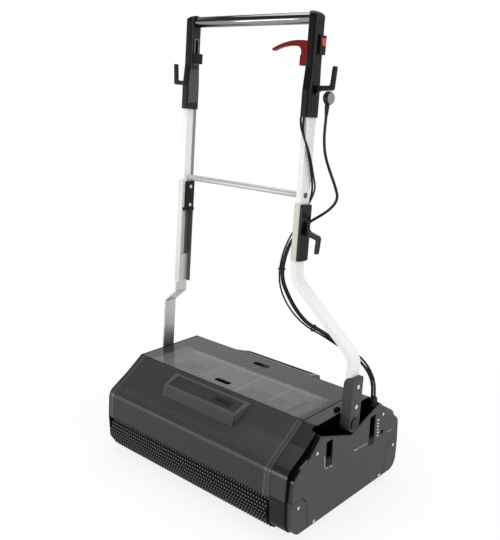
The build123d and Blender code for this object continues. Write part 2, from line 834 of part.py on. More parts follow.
def tanks():
    """The clean-water tank and the recovery tank, both open at the top under the lid."""
    top = lid_under - sliding_gap
    rows = (
        ("solution_tank", -tank_half_depth, tank_split_y),
        ("recovery_tank", tank_split_y + tank_gap, tank_half_depth),
    )
    for name, y_front, y_rear in rows:
        tank = block((tank_left, tank_right), (y_front, y_rear), (tank_bottom, top))
        tank = fillet(tank.edges().filter_by(Axis.Z), 8.0)
        tank -= block(
            (tank_left + tank_wall, tank_right - tank_wall),
            (y_front + tank_wall, y_rear - tank_wall),
            (tank_bottom + tank_wall, top + 1),
        )
        save(name, tank)


# ---------------------------------------------------------------- brushes and drum
def brush(name, y, turn):
    """One brush: a hollow core on its shaft, and the bristle strips around it."""
    end = body_length / 2 - brush_end_gap
    core = pipe_x(brush_core_radius, brush_core_radius - brush_wall, -end, end, y, brush_z)
    for x in (-end, end - 6.0):
        core += rod_x(brush_core_radius - 1.0, x, x + 6.0, y, brush_z)
    left_end = plate_left - left_plate_thickness
    core += rod_x(shaft_radius, left_end, -end, y, brush_z)
    core += rod_x(shaft_radius, end, gear_x + gear_width, y, brush_z)
    save(f"{name}_core", core)
    ring = toothed(bristle_rows, bristle_root, brush_radius, bristle_share, turn)
    ring -= Circle(brush_core_radius)
    tips = end - bristle_inset
    save(f"{name}_bristles", on_yz(Pos(y, brush_z) * ring, -tips, tips))


def pickup_drum():
    """The bladed drum between the brushes."""
    end = body_length / 2 - brush_end_gap
    ring = toothed(drum_blades, drum_tube_radius, drum_radius, blade_share)
    ring -= Circle(drum_tube_radius - drum_wall)
    drum = on_yz(Pos(*drum_centre) * ring, -end, end)
    for x in (-end, end - 6.0):
        drum += rod_x(drum_tube_radius - 1.0, x, x + 6.0, *drum_centre)
    left_end = plate_left - left_plate_thickness
    drum += rod_x(shaft_radius, left_end, -end, *drum_centre)
    drum += rod_x(shaft_radius, end, gear_x + gear_width, *drum_centre)
    save("pickup_drum", drum)


# ---------------------------------------------------------------- handle
tube_in_right = right_top_x - tube_width / 2
tube_out_right = right_top_x + tube_width / 2
tube_in_left = left_top_x + tube_width / 2
tube_out_left = left_top_x - tube_width / 2


def right_bracket():
    """The cast bracket at the foot of the right leg."""
    side = rounded(
        [
            (-bracket_half_depth, pivot_z - bracket_half_depth),
            (bracket_half_depth, pivot_z - bracket_half_depth),
            (bracket_half_depth, bracket_top_z),
            (-bracket_half_depth, bracket_top_z),
        ],
        [bracket_half_depth - 0.1, bracket_half_depth - 0.1, 7.0, 7.0],
    )
    front = rounded(
        [
            (bracket_in, pivot_z - 40),
            (bracket_out, pivot_z - 40),
            (bracket_out, bracket_top_z),
            (bracket_in, bracket_top_z),
        ],
        [0.0, 0.0, 2.0, bracket_round],
    )
    body = on_yz(side, bracket_in, bracket_out) & on_xz(front, -40, 40)
    socket = (tube_width / 2 + loose_gap, tube_depth / 2 + loose_gap)
    body -= block(
        (right_low_x - socket[0], right_low_x + socket[0]),
        (-socket[1], socket[1]),
        (leg_bottom_z - loose_gap, bracket_top_z + 1),
    )
    body -= rod_x(pivot_radius + running_fit, bracket_in - 1, bracket_out + 1, 0, pivot_z)
    for z in bracket_screw_z:
        body -= rod_x(screw_hole_radius, right_low_x, bracket_out + 1, 0, z)
    save("right_bracket", lean(body))


def right_leg():
    """The bent lower leg, the sleeve that joins it, and the straight upper tube."""
    points = [
        (right_low_x, leg_bottom_z),
        (right_low_x, leg_bend_low_z),
        (right_top_x, leg_bend_high_z),
        (right_top_x, tube_joint_z),
    ]
    save("right_lower_leg", lean(swept_bar(points, leg_bend_radius, tube_width, tube_depth, tube_wall)))
    inner = (tube_width + 2 * loose_gap, tube_depth + 2 * loose_gap)
    outer = (inner[0] + 2 * sleeve_wall, inner[1] + 2 * sleeve_wall)
    face = RectangleRounded(*outer, 2.0) - Rectangle(*inner)
    place = Plane.XY.offset(sleeve_bottom_z) * Pos(right_top_x, 0)
    sleeve = extrude(place * face, amount=sleeve_top_z - sleeve_bottom_z)
    save("right_sleeve", lean(sleeve))
    upper = straight_tube(right_top_x, tube_joint_z + 1.0)
    upper -= rod_x(screw_hole_radius, right_top_x, tube_out_right + 1, 0, cross_bar_z)
    save("right_upper_tube", lean(upper))


def straight_tube(x, bottom):
    """One straight rectangular tube up into its grip housing."""
    face = Rectangle(tube_width, tube_depth) - Rectangle(
        tube_width - 2 * tube_wall, tube_depth - 2 * tube_wall
    )
    return extrude(Plane.XY.offset(bottom) * Pos(x, 0) * face, amount=tube_top_z - bottom)


def hook_cover():
    """The black cover on the sleeve, with a hook that points down for the cord."""
    x_in = tube_out_right + loose_gap + sleeve_wall
    x_out = x_in + hook_cover_thickness
    half = tube_depth / 2 + loose_gap + sleeve_wall
    plate = block((x_in, x_out), (-half, half), (sleeve_bottom_z, sleeve_top_z - 2.0))
    plate = fillet(plate.edges().filter_by(Axis.X), 6.0)
    root = cord_hook_z
    reach = right_top_x + hook_reach - 5.0
    hook = rounded(
        [
            (x_in + 2, root + 34),
            (x_out + 4, root + 24),
            (x_out + 14, root),
            (reach, root - 10),
            (reach - hook_splay, root - 58),
            (reach - hook_splay - hook_bar, root - 58),
            (reach - hook_bar - 2, root - 20),
            (x_in + 2, root - 12),
        ],
        [0.0, 8.0, 14.0, 9.0, 4.0, 4.0, 5.0, 0.0],
    )
    save("hook_cover", lean(plate + on_xz(hook, -hook_depth / 2, hook_depth / 2)))


def left_leg():
    """The flat folded bar, the channel above it, the upper tube and its clamp."""
    bar_high_x = tube_out_left + bar_thickness / 2
    points = [
        (bar_low_x, pivot_z),
        (bar_low_x, bar_fold_low_z),
        (bar_high_x, bar_fold_high_z),
        (bar_high_x, bar_top_z),
    ]
    bar = swept_bar(points, 8.0, bar_thickness, bar_width)
    eye_ends = (bar_low_x - bar_thickness / 2, bar_low_x + bar_thickness / 2)
    bar += rod_x(bar_width / 2, *eye_ends, 0, pivot_z)
    bar -= rod_x(left_pivot_radius + running_fit, eye_ends[0] - 1, eye_ends[1] + 1, 0, pivot_z)
    save("left_bar", lean(bar))
    web_x = tube_out_left - channel_sheet
    tip_x = web_x + channel_flange + channel_sheet
    half = bar_width / 2 + loose_gap + channel_sheet
    channel = block((web_x, tip_x), (-half, half), (channel_bottom_z, channel_top_z))
    channel -= block(
        (tube_out_left, tip_x + 1),
        (-half + channel_sheet, half - channel_sheet),
        (channel_bottom_z - 1, channel_top_z + 1),
    )
    save("left_channel", lean(channel))
    save("left_upper_tube", lean(straight_tube(left_top_x, left_tube_bottom_z)))
    plate_x = tube_in_left
    plate_end = plate_x + clamp_thickness
    bottom = left_tube_bottom_z
    clamp = block((plate_x, plate_end), (-14.0, 20.0), (bottom - 2, channel_top_z - 4))
    clamp += block((tube_out_left + 6.0, plate_end + 2.0), (-20.0, 21.0), (bottom - 9, bottom - 1))
    for z in clamp_screw_z:
        clamp -= rod_x(screw_hole_radius, plate_x - 1, plate_end + 1, 4.0, z)
    save("left_clamp", lean(clamp))


def cross_bar():
    """The round bar between the two upper tubes."""
    bar = pipe_x(
        cross_bar_radius, cross_bar_radius - 1.5, tube_in_left, tube_in_right, 0, cross_bar_z
    )
    save("cross_bar", lean(bar))


def hand_grip():
    """The round grip across the top of the handle."""
    left_end = left_top_x + housing_head[0] / 2
    right_end = right_top_x - housing_head[0] / 2
    save(
        "hand_grip",
        lean(pipe_x(grip_radius, grip_radius - grip_wall, left_end, right_end, 0, grip_z)),
    )


def handle_screws():
    """The screws of the bracket, the clamp and the cross bar."""
    screws = []
    for z in bracket_screw_z:
        screws.append(screw_x(bracket_out, 0, z, 8.0, head=6.0))
    for z in clamp_screw_z:
        screws.append(screw_x(tube_in_left + clamp_thickness, 4.0, z, clamp_thickness, head=5.0))
    screws.append(screw_x(tube_out_right, 0, cross_bar_z, tube_wall, head=7.5))
    save("handle_screws", lean(group(screws)))


def housing_body(x, side):
    """A grip housing; side is +1 on the right and -1 on the left."""
    sections = []
    rows = (
        (housing_bottom_z, housing_foot, -1.5),
        (housing_waist_z, housing_foot, -1.5),
        (housing_neck_z, housing_head, 0.0),
    )
    for z, (width, depth), shift in rows:
        section = RectangleRounded(width, depth, housing_edge)
        sections.append(Plane.XY.offset(z) * Pos(x, shift) * section)
    lower = loft(sections[:2]) + loft(sections[1:])
    top_z = grip_z + grip_radius + housing_crown
    width = housing_head[0] / 2
    depth = housing_head[1] / 2
    outline = [
        (x - side * width, housing_neck_z),
        (x + side * width, housing_neck_z),
        (x + side * width, top_z),
        (x - side * width, top_z),
    ]
    upper = on_xz(rounded(outline, [0.0, 0.0, housing_elbow, 2.0]), -depth, depth)
    upper = upper & extrude(
        Plane.XY.offset(housing_neck_z) * Pos(x, 0) * RectangleRounded(*housing_head, housing_edge),
        amount=top_z - housing_neck_z,
    )
    dome = [(-depth, housing_neck_z), (depth, housing_neck_z), (depth, top_z), (-depth, top_z)]
    crown = rounded(dome, [0.0, 0.0, depth - 4.0, depth - 4.0])
    upper = upper & on_yz(crown, x - width, x + width)
    body = lower + upper
    socket = (tube_width / 2 + loose_gap, tube_depth / 2 + loose_gap)
    body -= block(
        (x - socket[0], x + socket[0]),
        (-socket[1], socket[1]),
        (housing_bottom_z - 1, tube_top_z + sliding_gap),
    )
    hook = rounded(
        [
            (x + side * (width - 2), hook_z - 24),
            (x + side * (width + 14), hook_z - 9),
            (x + side * (hook_reach - hook_splay), hook_z - 7),
            (x + side * hook_reach, hook_z + hook_rise),
            (x + side * (hook_reach - hook_bar), hook_z + hook_rise),
            (x + side * (hook_reach - hook_splay - hook_bar), hook_z + 5),
            (x + side * (width - 2), hook_z + 4),
        ],
        [0.0, 10.0, 7.0, 4.0, 4.0, 5.0, 0.0],
    )
    return body + on_xz(hook, -hook_depth / 2, hook_depth / 2)


lever_pivot = (162.0, 1203.0)
lever_half = 7.0
trigger_reach = 131.0
slider_z = (1163.0, 1192.0)
slider_travel = 38.0


def grip_housings():
    """The right housing with its lever pocket and switch, and the left one with its slider."""
    right = housing_body(right_top_x, 1)
    x_face = right_top_x - housing_head[0] / 2
    right -= block(
        (x_face - 1, x_face + 19.0),
        (-lever_half - 0.5, lever_half + 0.5),
        (lever_pivot[1] - 45, lever_pivot[1] + 27),
    )
    pin = Pos(lever_pivot[0], 0, lever_pivot[1]) * Rot(90, 0, 0) * Cylinder(3.0, 2 * lever_half + 4)
    right += pin
    out = right_top_x + housing_head[0] / 2
    window = block((out + 1.5, out + 20), rocker_y, rocker_z)
    bezel = block((out - 0.5, out + 7.0), bezel_y, bezel_z)
    bezel = fillet(bezel.edges().group_by(Axis.X)[-1], 1.5)
    right += bezel
    right -= window
    right -= rocker_pin(rocker_pin_radius + running_fit, 2.0 + sliding_gap)
    save("right_grip_housing", lean(right))
    left = housing_body(left_top_x, -1)
    face = left_top_x + housing_head[0] / 2
    left += block((face - 0.5, face + 2.0), (-9.0, 9.0), (slider_z[0] - 4, slider_z[1] + slider_travel + 4))
    left -= block((face - 8.0, face + 3.0), (-5.0, 5.0), (slider_z[0] - 1, slider_z[1] + slider_travel))
    save("left_grip_housing", lean(left))
    knob = block((face + 2.0 + sliding_gap, face + 14.0), (-16.0, 16.0), slider_z)
    knob = fillet(knob.edges().group_by(Axis.X)[-1], 3.0)
    stem = block((face - 7.0, face + 3.0), (-4.7, 4.7), (slider_z[0], slider_z[0] + 20.0))
    save("dosing_slider", lean(knob + stem))


rocker_y = (-1.0, 15.0)
rocker_z = (1211.0, 1232.0)
rocker_pin_radius = 1.2
bezel_y = (-5.0, 19.0)
bezel_z = (1190.0, 1238.0)


def rocker_pin(radius, beyond):
    """The rocker's pin, which runs past the window by a given amount at each end."""
    length = rocker_y[1] - rocker_y[0] + 2 * beyond
    place = (right_top_x + housing_head[0] / 2 + 4.0, sum(rocker_y) / 2, sum(rocker_z) / 2)
    return Pos(*place) * Rot(90, 0, 0) * Cylinder(radius, length)


def rocker_switch():
    """The red rocker, turned on its own pin in the bezel's window."""
    out = right_top_x + housing_head[0] / 2
    middle = (rocker_z[0] + rocker_z[1]) / 2
    gap = sliding_gap + 0.2
    outline = [
        (out + 2.2, middle - 3.0),
        (out + 6.0, rocker_z[0] + gap),
        (out + 10.5, rocker_z[0] + gap + 0.5),
        (out + 8.6, middle),
        (out + 7.8, rocker_z[1] - gap - 0.5),
        (out + 6.0, rocker_z[1] - gap),
        (out + 2.2, middle + 3.0),
    ]
    face = make_face(Polyline(*outline, close=True))
    key = on_xz(face, rocker_y[0] + gap, rocker_y[1] - gap)
    save("rocker_switch", lean(key + rocker_pin(rocker_pin_radius, 2.0)))


def trigger_lever():
    """The curved lever under the grip that lets the solution out."""
    x, z = lever_pivot
    tip_x = x - trigger_reach
    palm = (x - 48, z + 8)
    heel = (x - 34, z - 12)
    upper = ThreePointArc((tip_x, z + 3), (x - 72, z + 21), (x + 3, z + 18))
    tip = ThreePointArc((tip_x, z + 3), (tip_x - 2, z), (tip_x + 2, z - 3))
    lower = ThreePointArc((tip_x + 2, z - 3), (x - 90, z + 8), palm)
    inner = Spline(palm, (x - 38, z + 3), heel, tangents=((1, 0), (0, -1)))
    rest = Polyline(
        heel, (x - 37, z - 17), (x - 37, z - 41), (x - 10, z - 41), (x + 3, z - 6), (x + 3, z + 18)
    )
    face = make_face(upper + tip + lower + inner + rest)
    body = on_xz(face, -lever_half, lever_half)
    bore = Pos(x, 0, z) * Rot(90, 0, 0) * Cylinder(3.0 + running_fit, 3 * lever_half)
    save("trigger_lever", lean(body - bore))


# ---------------------------------------------------------------- plug and cords
plug_radius = 17.0
plug_thickness = 12.0
plug_centre = (right_top_x + 60.0, hook_z - 9.0 - plug_radius)
cord_sides = 8
lead_diameter = 7.5
switch_diameter = 6.0
lever_diameter = 5.0
cord_diameters = (lead_diameter, switch_diameter, lever_diameter)
tie_width = 4.5
tie_wall = 1.3


def mains_plug():
    """The angled mains plug that hangs under the hook, its lead leaving downwards."""
    x, z = plug_centre
    back = rod_x(plug_radius, x - plug_thickness, x, 0, z)
    back = chamfer(back.edges().sort_by(Axis.X)[0], 4.0)
    face = rod_x(plug_radius - 1.0, x, x + plug_thickness / 2, 0, z)
    face = chamfer(face.edges().sort_by(Axis.X)[-1], 2.0)
    from_foot = (Align.CENTER, Align.CENTER, Align.MIN)
    neck = Pos(lead_start_x, 0, lead_start_z) * Cylinder(5.5, plug_radius, align=from_foot)
    save("mains_plug", lean(back + face + neck))


lead_start_x = plug_centre[0] - plug_thickness / 2
lead_start_z = plug_centre[1] - plug_radius - 6.0

lead_upper = [
    (220.0, 0.0, lead_start_z),
    (220.0, 0.0, 1034.0),
    (218.5, 0.0, 986.0),
    (226.0, 0.0, 940.0),
    (246.0, 0.0, 900.0),
    (268.0, 0.0, 862.0),
    (280.0, 0.0, 832.0),
    (258.0, 2.0, 803.0),
    (216.0, 14.0, 777.0),
    (178.0, 30.5, 758.0),
    (144.0, 30.5, 730.0),
    (110.0, 30.0, 688.0),
    (92.0, 29.0, 634.0),
    (90.0, 28.0, 580.0),
    (116.0, 28.0, 538.0),
    (150.0, 28.0, 500.0),
    (192.0, 28.0, 471.0),
]
lead_lower = [
    (240.0, 42.0, 459.0),
    (284.0, 48.0, 441.0),
    (324.0, 58.0, 418.0),
    (352.0, 80.0, 392.0),
    (367.0, 104.0, 354.0),
    (371.5, 120.5, 314.0),
    (371.5, 120.5, gland_top),
]
switch_upper = [
    (156.0, -22.7, housing_bottom_z),
    (156.0, -22.7, 1014.0),
    (168.0, -25.0, 990.0),
    (179.5, -20.0, 962.0),
    (181.5, -6.0, 926.0),
    (181.5, 9.0, 884.0),
    (180.0, 21.5, 850.0),
    (170.0, 30.5, 818.0),
    (155.0, 37.0, 780.0),
    (137.0, 38.5, 734.0),
    (110.0, 38.0, 688.0),
    (92.0, 37.0, 634.0),
    (90.0, 36.0, 580.0),
    (116.0, 36.0, 538.0),
    (150.0, 36.0, 500.0),
    (192.0, 36.0, 471.0),
]
switch_lower = [
    (240.0, 50.0, 459.0),
    (284.0, 56.0, 441.0),
    (327.5, 65.0, 422.5),
    (358.5, 84.5, 397.0),
    (374.0, 107.0, 356.0),
    (379.4, 121.5, 314.0),
    (379.4, 121.5, gland_top),
]
lever_upper = [
    (166.0, -22.7, housing_bottom_z),
    (166.0, -22.7, 1012.0),
    (176.0, -32.5, 986.0),
    (186.5, -23.0, 956.0),
    (188.0, -6.0, 922.0),
    (187.5, 11.0, 880.0),
    (184.5, 29.5, 846.0),
    (163.5, 40.0, 812.0),
    (146.0, 41.0, 776.0),
    (128.0, 34.0, 736.0),
    (101.5, 31.0, 690.0),
    (83.5, 30.0, 635.0),
    (81.5, 29.0, 576.0),
    (100.0, 29.0, 531.0),
    (138.0, 29.0, 491.0),
    (188.0, 29.0, 463.0),
]
lever_lower = [
    (238.0, 43.0, 450.5),
    (284.0, 51.0, 432.5),
    (322.0, 66.0, 410.0),
    (349.0, 91.0, 384.0),
    (367.5, 116.0, 348.5),
    (375.0, 129.0, 311.0),
    (375.0, 129.0, gland_top),
]


lead_points = lean_points(lead_upper) + lead_lower
switch_points = lean_points(switch_upper) + switch_lower
lever_points = lean_points(lever_upper) + lever_lower


def cords():
    """The mains lead, the switch cable and the lever's cable, all into the gland."""
    cord("mains_lead", lead_points, lead_diameter)
    cord("switch_cable", switch_points, switch_diameter)
    cord("lever_cable", lever_points, lever_diameter)


def cable_ties():
    """Two bands round the three cords, each across the middle of a straight run."""
    cord_pairs = ((lead_upper, lead_lower), (switch_upper, switch_lower), (lever_upper, lever_lower))
    ties = []
    for place in ("upper", "lower"):
        middles = []
        for upper, lower in cord_pairs:
            leaned = lean_points(upper)
            run = leaned[-5:-3] if place == "upper" else (leaned[-1], lower[0])
            start, end = Vector(*run[0]), Vector(*run[1])
            middles.append((start + end) * 0.5)
            along = (end - start).normalized()
        centre = (middles[0] + middles[1] + middles[2]) * (1 / 3)
        across = Vector(0, 1, 0) - along * along.Y
        plane = Plane(centre, x_dir=across, z_dir=along)
        places = [plane.to_local_coords(middle) for middle in middles]
        reach = [diameter / 2 + sliding_gap for diameter in cord_diameters]
        low = [min(tuple(p)[k] - r for p, r in zip(places, reach)) for k in (0, 1)]
        high = [max(tuple(p)[k] + r for p, r in zip(places, reach)) for k in (0, 1)]
        size = (high[0] - low[0], high[1] - low[1])
        middle = Pos((high[0] + low[0]) / 2, (high[1] + low[1]) / 2)
        band = RectangleRounded(size[0] + 2 * tie_wall, size[1] + 2 * tie_wall, 4.0)
        band -= RectangleRounded(*size, 3.0)
        ties.append(extrude(plane * middle * band, amount=tie_width / 2, both=True))
    save("cable_ties", group(ties))


side_frames()
bearings()
tie_rods()
tank_rails()
drive_motor()
drive_train()
chassis_pins()
drive_housing()
side_cover()
corner_cover("front_corner_cover", -1)
corner_cover("rear_corner_cover", 1)
cover_screws()
adjusters()
buttons()
cable_gland()
pivot_stubs()
curved_cover("front_cover", -1)
curved_cover("rear_cover", 1)
cover_grip("front_cover_grip", -1)
cover_grip("rear_cover_grip", 1)
lid()
tanks()
brush("front_brush", -brush_y, -90.0)
brush("rear_brush", brush_y, -90.0)
pickup_drum()
right_bracket()
right_leg()
hook_cover()
left_leg()
cross_bar()
hand_grip()
handle_screws()
grip_housings()
rocker_switch()
trigger_lever()
mains_plug()
cords()
cable_ties()
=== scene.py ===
# %% [markdown]
# # A walk-behind carpet and floor sweeper
#
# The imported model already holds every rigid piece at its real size, so this script never moves
# one. It gives each piece its finish, swaps the plain bristle strips for real tufts, the plain
# cord tubes for smooth cords and the two bright tubes of the handle for round ones, adds the
# printed marks and the boot of the plug, and sets up a camera, a floor and soft light.

# %% The frame
import bpy
import math
from mathutils import Matrix, Vector


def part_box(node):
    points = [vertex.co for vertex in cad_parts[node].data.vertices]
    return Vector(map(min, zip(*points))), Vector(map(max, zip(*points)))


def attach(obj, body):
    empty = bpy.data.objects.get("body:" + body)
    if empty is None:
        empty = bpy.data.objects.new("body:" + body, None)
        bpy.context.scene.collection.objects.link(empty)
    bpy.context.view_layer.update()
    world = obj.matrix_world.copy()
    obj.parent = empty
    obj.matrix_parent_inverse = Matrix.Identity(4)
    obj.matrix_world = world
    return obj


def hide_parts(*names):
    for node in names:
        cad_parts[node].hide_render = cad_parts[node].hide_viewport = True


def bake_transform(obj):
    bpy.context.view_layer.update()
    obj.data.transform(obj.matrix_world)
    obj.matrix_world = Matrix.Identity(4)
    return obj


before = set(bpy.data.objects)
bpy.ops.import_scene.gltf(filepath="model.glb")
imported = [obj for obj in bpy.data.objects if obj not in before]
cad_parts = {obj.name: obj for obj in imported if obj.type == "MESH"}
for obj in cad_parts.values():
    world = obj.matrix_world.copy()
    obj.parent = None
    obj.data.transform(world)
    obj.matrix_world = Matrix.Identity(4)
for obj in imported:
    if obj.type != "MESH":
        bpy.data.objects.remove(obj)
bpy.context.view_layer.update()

# %% [markdown]
# The camera stands to the right of the machine and in front of it, a little lower than the hand
# grip, and looks down at the body. It is turned first about the upright, then tipped down, and
# last rolled by just over a degree about its own line of sight.

# %% The camera
camera_place = (1.3192, -1.5000, 1.1357)
camera_turn = math.radians(41.464)
camera_dip = math.radians(-15.089)
camera_roll = math.radians(1.419)
camera_lens = 48.4
camera_reach = 50.0
bpy.ops.object.camera_add(location=camera_place)
camera = bpy.context.active_object
camera.name = "camera"
aim = Matrix.Rotation(camera_turn, 4, "Z") @ Matrix.Rotation(math.pi / 2 + camera_dip, 4, "X")
aim = aim @ Matrix.Rotation(camera_roll, 4, "Z")
camera.rotation_euler = aim.to_euler()
camera.data.lens = camera_lens
camera.data.clip_end = camera_reach
bpy.context.scene.camera = camera
print("camera", tuple(round(v, 3) for v in camera.rotation_euler))

# %% [markdown]
# Three cords run along the handle: the mains lead with its plug, the switch's cable and the cable
# of the lever. Each lies on a given route. A curve with three control points to a stretch
# rounds its own corners, so the cords look like rubber and not like bent wire. Each cord becomes a
# mesh. The handle swings, and the cords go over from body to handle just above the gland.

# %% The cords' routes
# The part's origin is this far to the right of the drawing's own
middle = 0.0210
pivot_height = 0.250
lean = math.radians(3.5)
gland_top = 0.279
housing_foot = 1.032
plug_foot = 1.0600
plug_x = 0.2200


def on_handle(points):
    """Points drawn on the upright handle, leaned back about its pivot, in metres."""
    leaned = []
    for x, y, z in points:
        rise = z - pivot_height
        y_leaned = y * math.cos(lean) + rise * math.sin(lean)
        z_leaned = pivot_height - y * math.sin(lean) + rise * math.cos(lean)
        leaned.append((x - middle, y_leaned, z_leaned))
    return leaned


def on_body(points):
    """Points drawn on the body, moved to the part's origin, in metres."""
    return [(x - middle, y, z) for x, y, z in points]


lead_route = on_handle([
    (plug_x, 0.0, plug_foot), (plug_x, 0.0, 1.0340), (0.2185, 0.0, 0.9860), (0.2260, 0.0, 0.9400),
    (0.2460, 0.0, 0.9000), (0.2680, 0.0, 0.8620), (0.2800, 0.0, 0.8320), (0.2580, 0.0020, 0.8030),
    (0.2160, 0.0140, 0.7770), (0.1780, 0.0305, 0.7580), (0.1440, 0.0305, 0.7300),
    (0.1100, 0.0300, 0.6880), (0.0920, 0.0290, 0.6340), (0.0900, 0.0280, 0.5800),
    (0.1160, 0.0280, 0.5380), (0.1500, 0.0280, 0.5000), (0.1920, 0.0280, 0.4710),
]) + on_body([
    (0.2400, 0.0420, 0.4590), (0.2840, 0.0480, 0.4410), (0.3240, 0.0580, 0.4180),
    (0.3520, 0.0800, 0.3920), (0.3670, 0.1040, 0.3540), (0.3715, 0.1205, 0.3140),
    (0.3715, 0.1205, gland_top),
])
switch_route = on_handle([
    (0.1560, -0.0227, housing_foot), (0.1560, -0.0227, 1.0140), (0.1680, -0.0250, 0.9900),
    (0.1795, -0.0200, 0.9620), (0.1815, -0.0060, 0.9260), (0.1815, 0.0090, 0.8840),
    (0.1800, 0.0215, 0.8500), (0.1700, 0.0305, 0.8180), (0.1550, 0.0370, 0.7800),
    (0.1370, 0.0385, 0.7340), (0.1100, 0.0380, 0.6880), (0.0920, 0.0370, 0.6340),
    (0.0900, 0.0360, 0.5800), (0.1160, 0.0360, 0.5380), (0.1500, 0.0360, 0.5000),
    (0.1920, 0.0360, 0.4710),
]) + on_body([
    (0.2400, 0.0500, 0.4590), (0.2840, 0.0560, 0.4410), (0.3275, 0.0650, 0.4225),
    (0.3585, 0.0845, 0.3970), (0.3740, 0.1070, 0.3560), (0.3794, 0.1215, 0.3140),
    (0.3794, 0.1215, gland_top),
])
lever_route = on_handle([
    (0.1660, -0.0227, housing_foot), (0.1660, -0.0227, 1.0120), (0.1760, -0.0325, 0.9860),
    (0.1865, -0.0230, 0.9560), (0.1880, -0.0060, 0.9220), (0.1875, 0.0110, 0.8800),
    (0.1845, 0.0295, 0.8460), (0.1635, 0.0400, 0.8120), (0.1460, 0.0410, 0.7760),
    (0.1280, 0.0340, 0.7360), (0.1015, 0.0310, 0.6900), (0.0835, 0.0300, 0.6350),
    (0.0815, 0.0290, 0.5760), (0.1000, 0.0290, 0.5310), (0.1380, 0.0290, 0.4910),
    (0.1880, 0.0290, 0.4630),
]) + on_body([
    (0.2380, 0.0430, 0.4505), (0.2840, 0.0510, 0.4325), (0.3220, 0.0660, 0.4100),
    (0.3490, 0.0910, 0.3840), (0.3675, 0.1160, 0.3485), (0.3750, 0.1290, 0.3110),
    (0.3750, 0.1290, gland_top),
])


# %% Helpers for choosing what an operator acts on
def deselect():
    """Nothing selected and nothing active."""
    bpy.ops.object.select_all(action="DESELECT")
    bpy.context.view_layer.objects.active = None


def choose(piece):
    """Only this piece selected and active."""
    deselect()
    piece.select_set(True)
    bpy.context.view_layer.objects.active = piece


def place_in_mesh(piece):
    """Puts a piece's place, turn and scale in its mesh, so that its object sits at the origin."""
    choose(piece)
    bpy.ops.object.transform_apply(location=True, rotation=True, scale=True)


# %% Cords from routes
def cord_curve(name, route, thickness):
    """A smooth curve that follows a route, as thick as given."""
    data = bpy.data.curves.new(name, "CURVE")
    data.dimensions = "3D"
    spline = data.splines.new("NURBS")
    spline.points.add(len(route) - 1)
    for point, place in zip(spline.points, route):
        point.co = (*place, 1.0)
    spline.order_u = 3
    spline.use_endpoint_u = True
    data.resolution_u = 12
    data.bevel_depth = thickness / 2
    data.bevel_resolution = 4
    data.use_fill_caps = True
    piece = bpy.data.objects.new(name, data)
    bpy.context.scene.collection.objects.link(piece)
    return piece


def centre_line(route):
    """The points of the smooth line itself, read from a curve with no thickness."""
    piece = cord_curve("centre_line", route, 0.0)
    line = bpy.data.meshes.new_from_object(piece)
    points = [tuple(vertex.co) for vertex in line.vertices]
    bpy.data.meshes.remove(line)
    bpy.data.objects.remove(piece)
    return points


def line_length(points):
    """The length along a row of points."""
    return sum((Vector(b) - Vector(a)).length for a, b in zip(points, points[1:]))


def make_cord(name, route, thickness):
    """One cord as a mesh tube, with the line that it follows."""
    piece = cord_curve(name, route, thickness)
    choose(piece)
    bpy.ops.object.convert(target="MESH")
    piece = bpy.context.active_object
    bpy.ops.object.shade_smooth()
    return piece, centre_line(route)


cords, lines = {}, {}
for name, route, thickness, node in (
    ("mains_cord", lead_route, 0.0075, "mains_lead"),
    ("switch_cord", switch_route, 0.0060, "switch_cable"),
    ("lever_cord", lever_route, 0.0050, "lever_cable"),
):
    piece, line = make_cord(name, route, thickness)
    cords[name] = piece
    lines[name] = (line, thickness)
    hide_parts(node)
    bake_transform(piece)
    print(name, "length", round(line_length(line), 3), "tube", thickness)


# %% [markdown]
# ## Finishes
#
# Most of the machine is moulded plastic and painted metal. What tells them apart is how sharp
# their highlights are and how fine their surface is, so each finish gets its own roughness. Fine
# grain and uneven gloss are the same effect everywhere, so one node group makes them and every
# finish places that group with its own values.

# %% A shared group for fine grain and uneven gloss
def new_group(name, inputs, outputs):
    """An empty node group with named sockets; inputs give each a kind and a value."""
    group = bpy.data.node_groups.new(name, "ShaderNodeTree")
    for socket_name, kind, value in inputs:
        socket = group.interface.new_socket(socket_name, in_out="INPUT", socket_type=kind)
        socket.default_value = value
    for socket_name, kind in outputs:
        group.interface.new_socket(socket_name, in_out="OUTPUT", socket_type=kind)
    return group, group.nodes.new("NodeGroupInput"), group.nodes.new("NodeGroupOutput")


def put(tree, socket, given):
    """Joins a socket to another one, or gives it a fixed value."""
    if isinstance(given, bpy.types.NodeSocket):
        tree.links.new(given, socket)
    else:
        socket.default_value = given


def maths(tree, operation, first, second):
    """A math node; each of its two sides is a socket or a number."""
    node = tree.nodes.new("ShaderNodeMath")
    node.operation = operation
    for side, given in zip(node.inputs, (first, second)):
        put(tree, side, given)
    return node.outputs[0]


def vector_maths(tree, operation, first, second):
    """The same for vectors; what scales a vector is a number and has a socket of its own."""
    node = tree.nodes.new("ShaderNodeVectorMath")
    node.operation = operation
    put(tree, node.inputs[0], first)
    put(tree, node.inputs["Scale" if operation == "SCALE" else 1], second)
    return node.outputs[0]


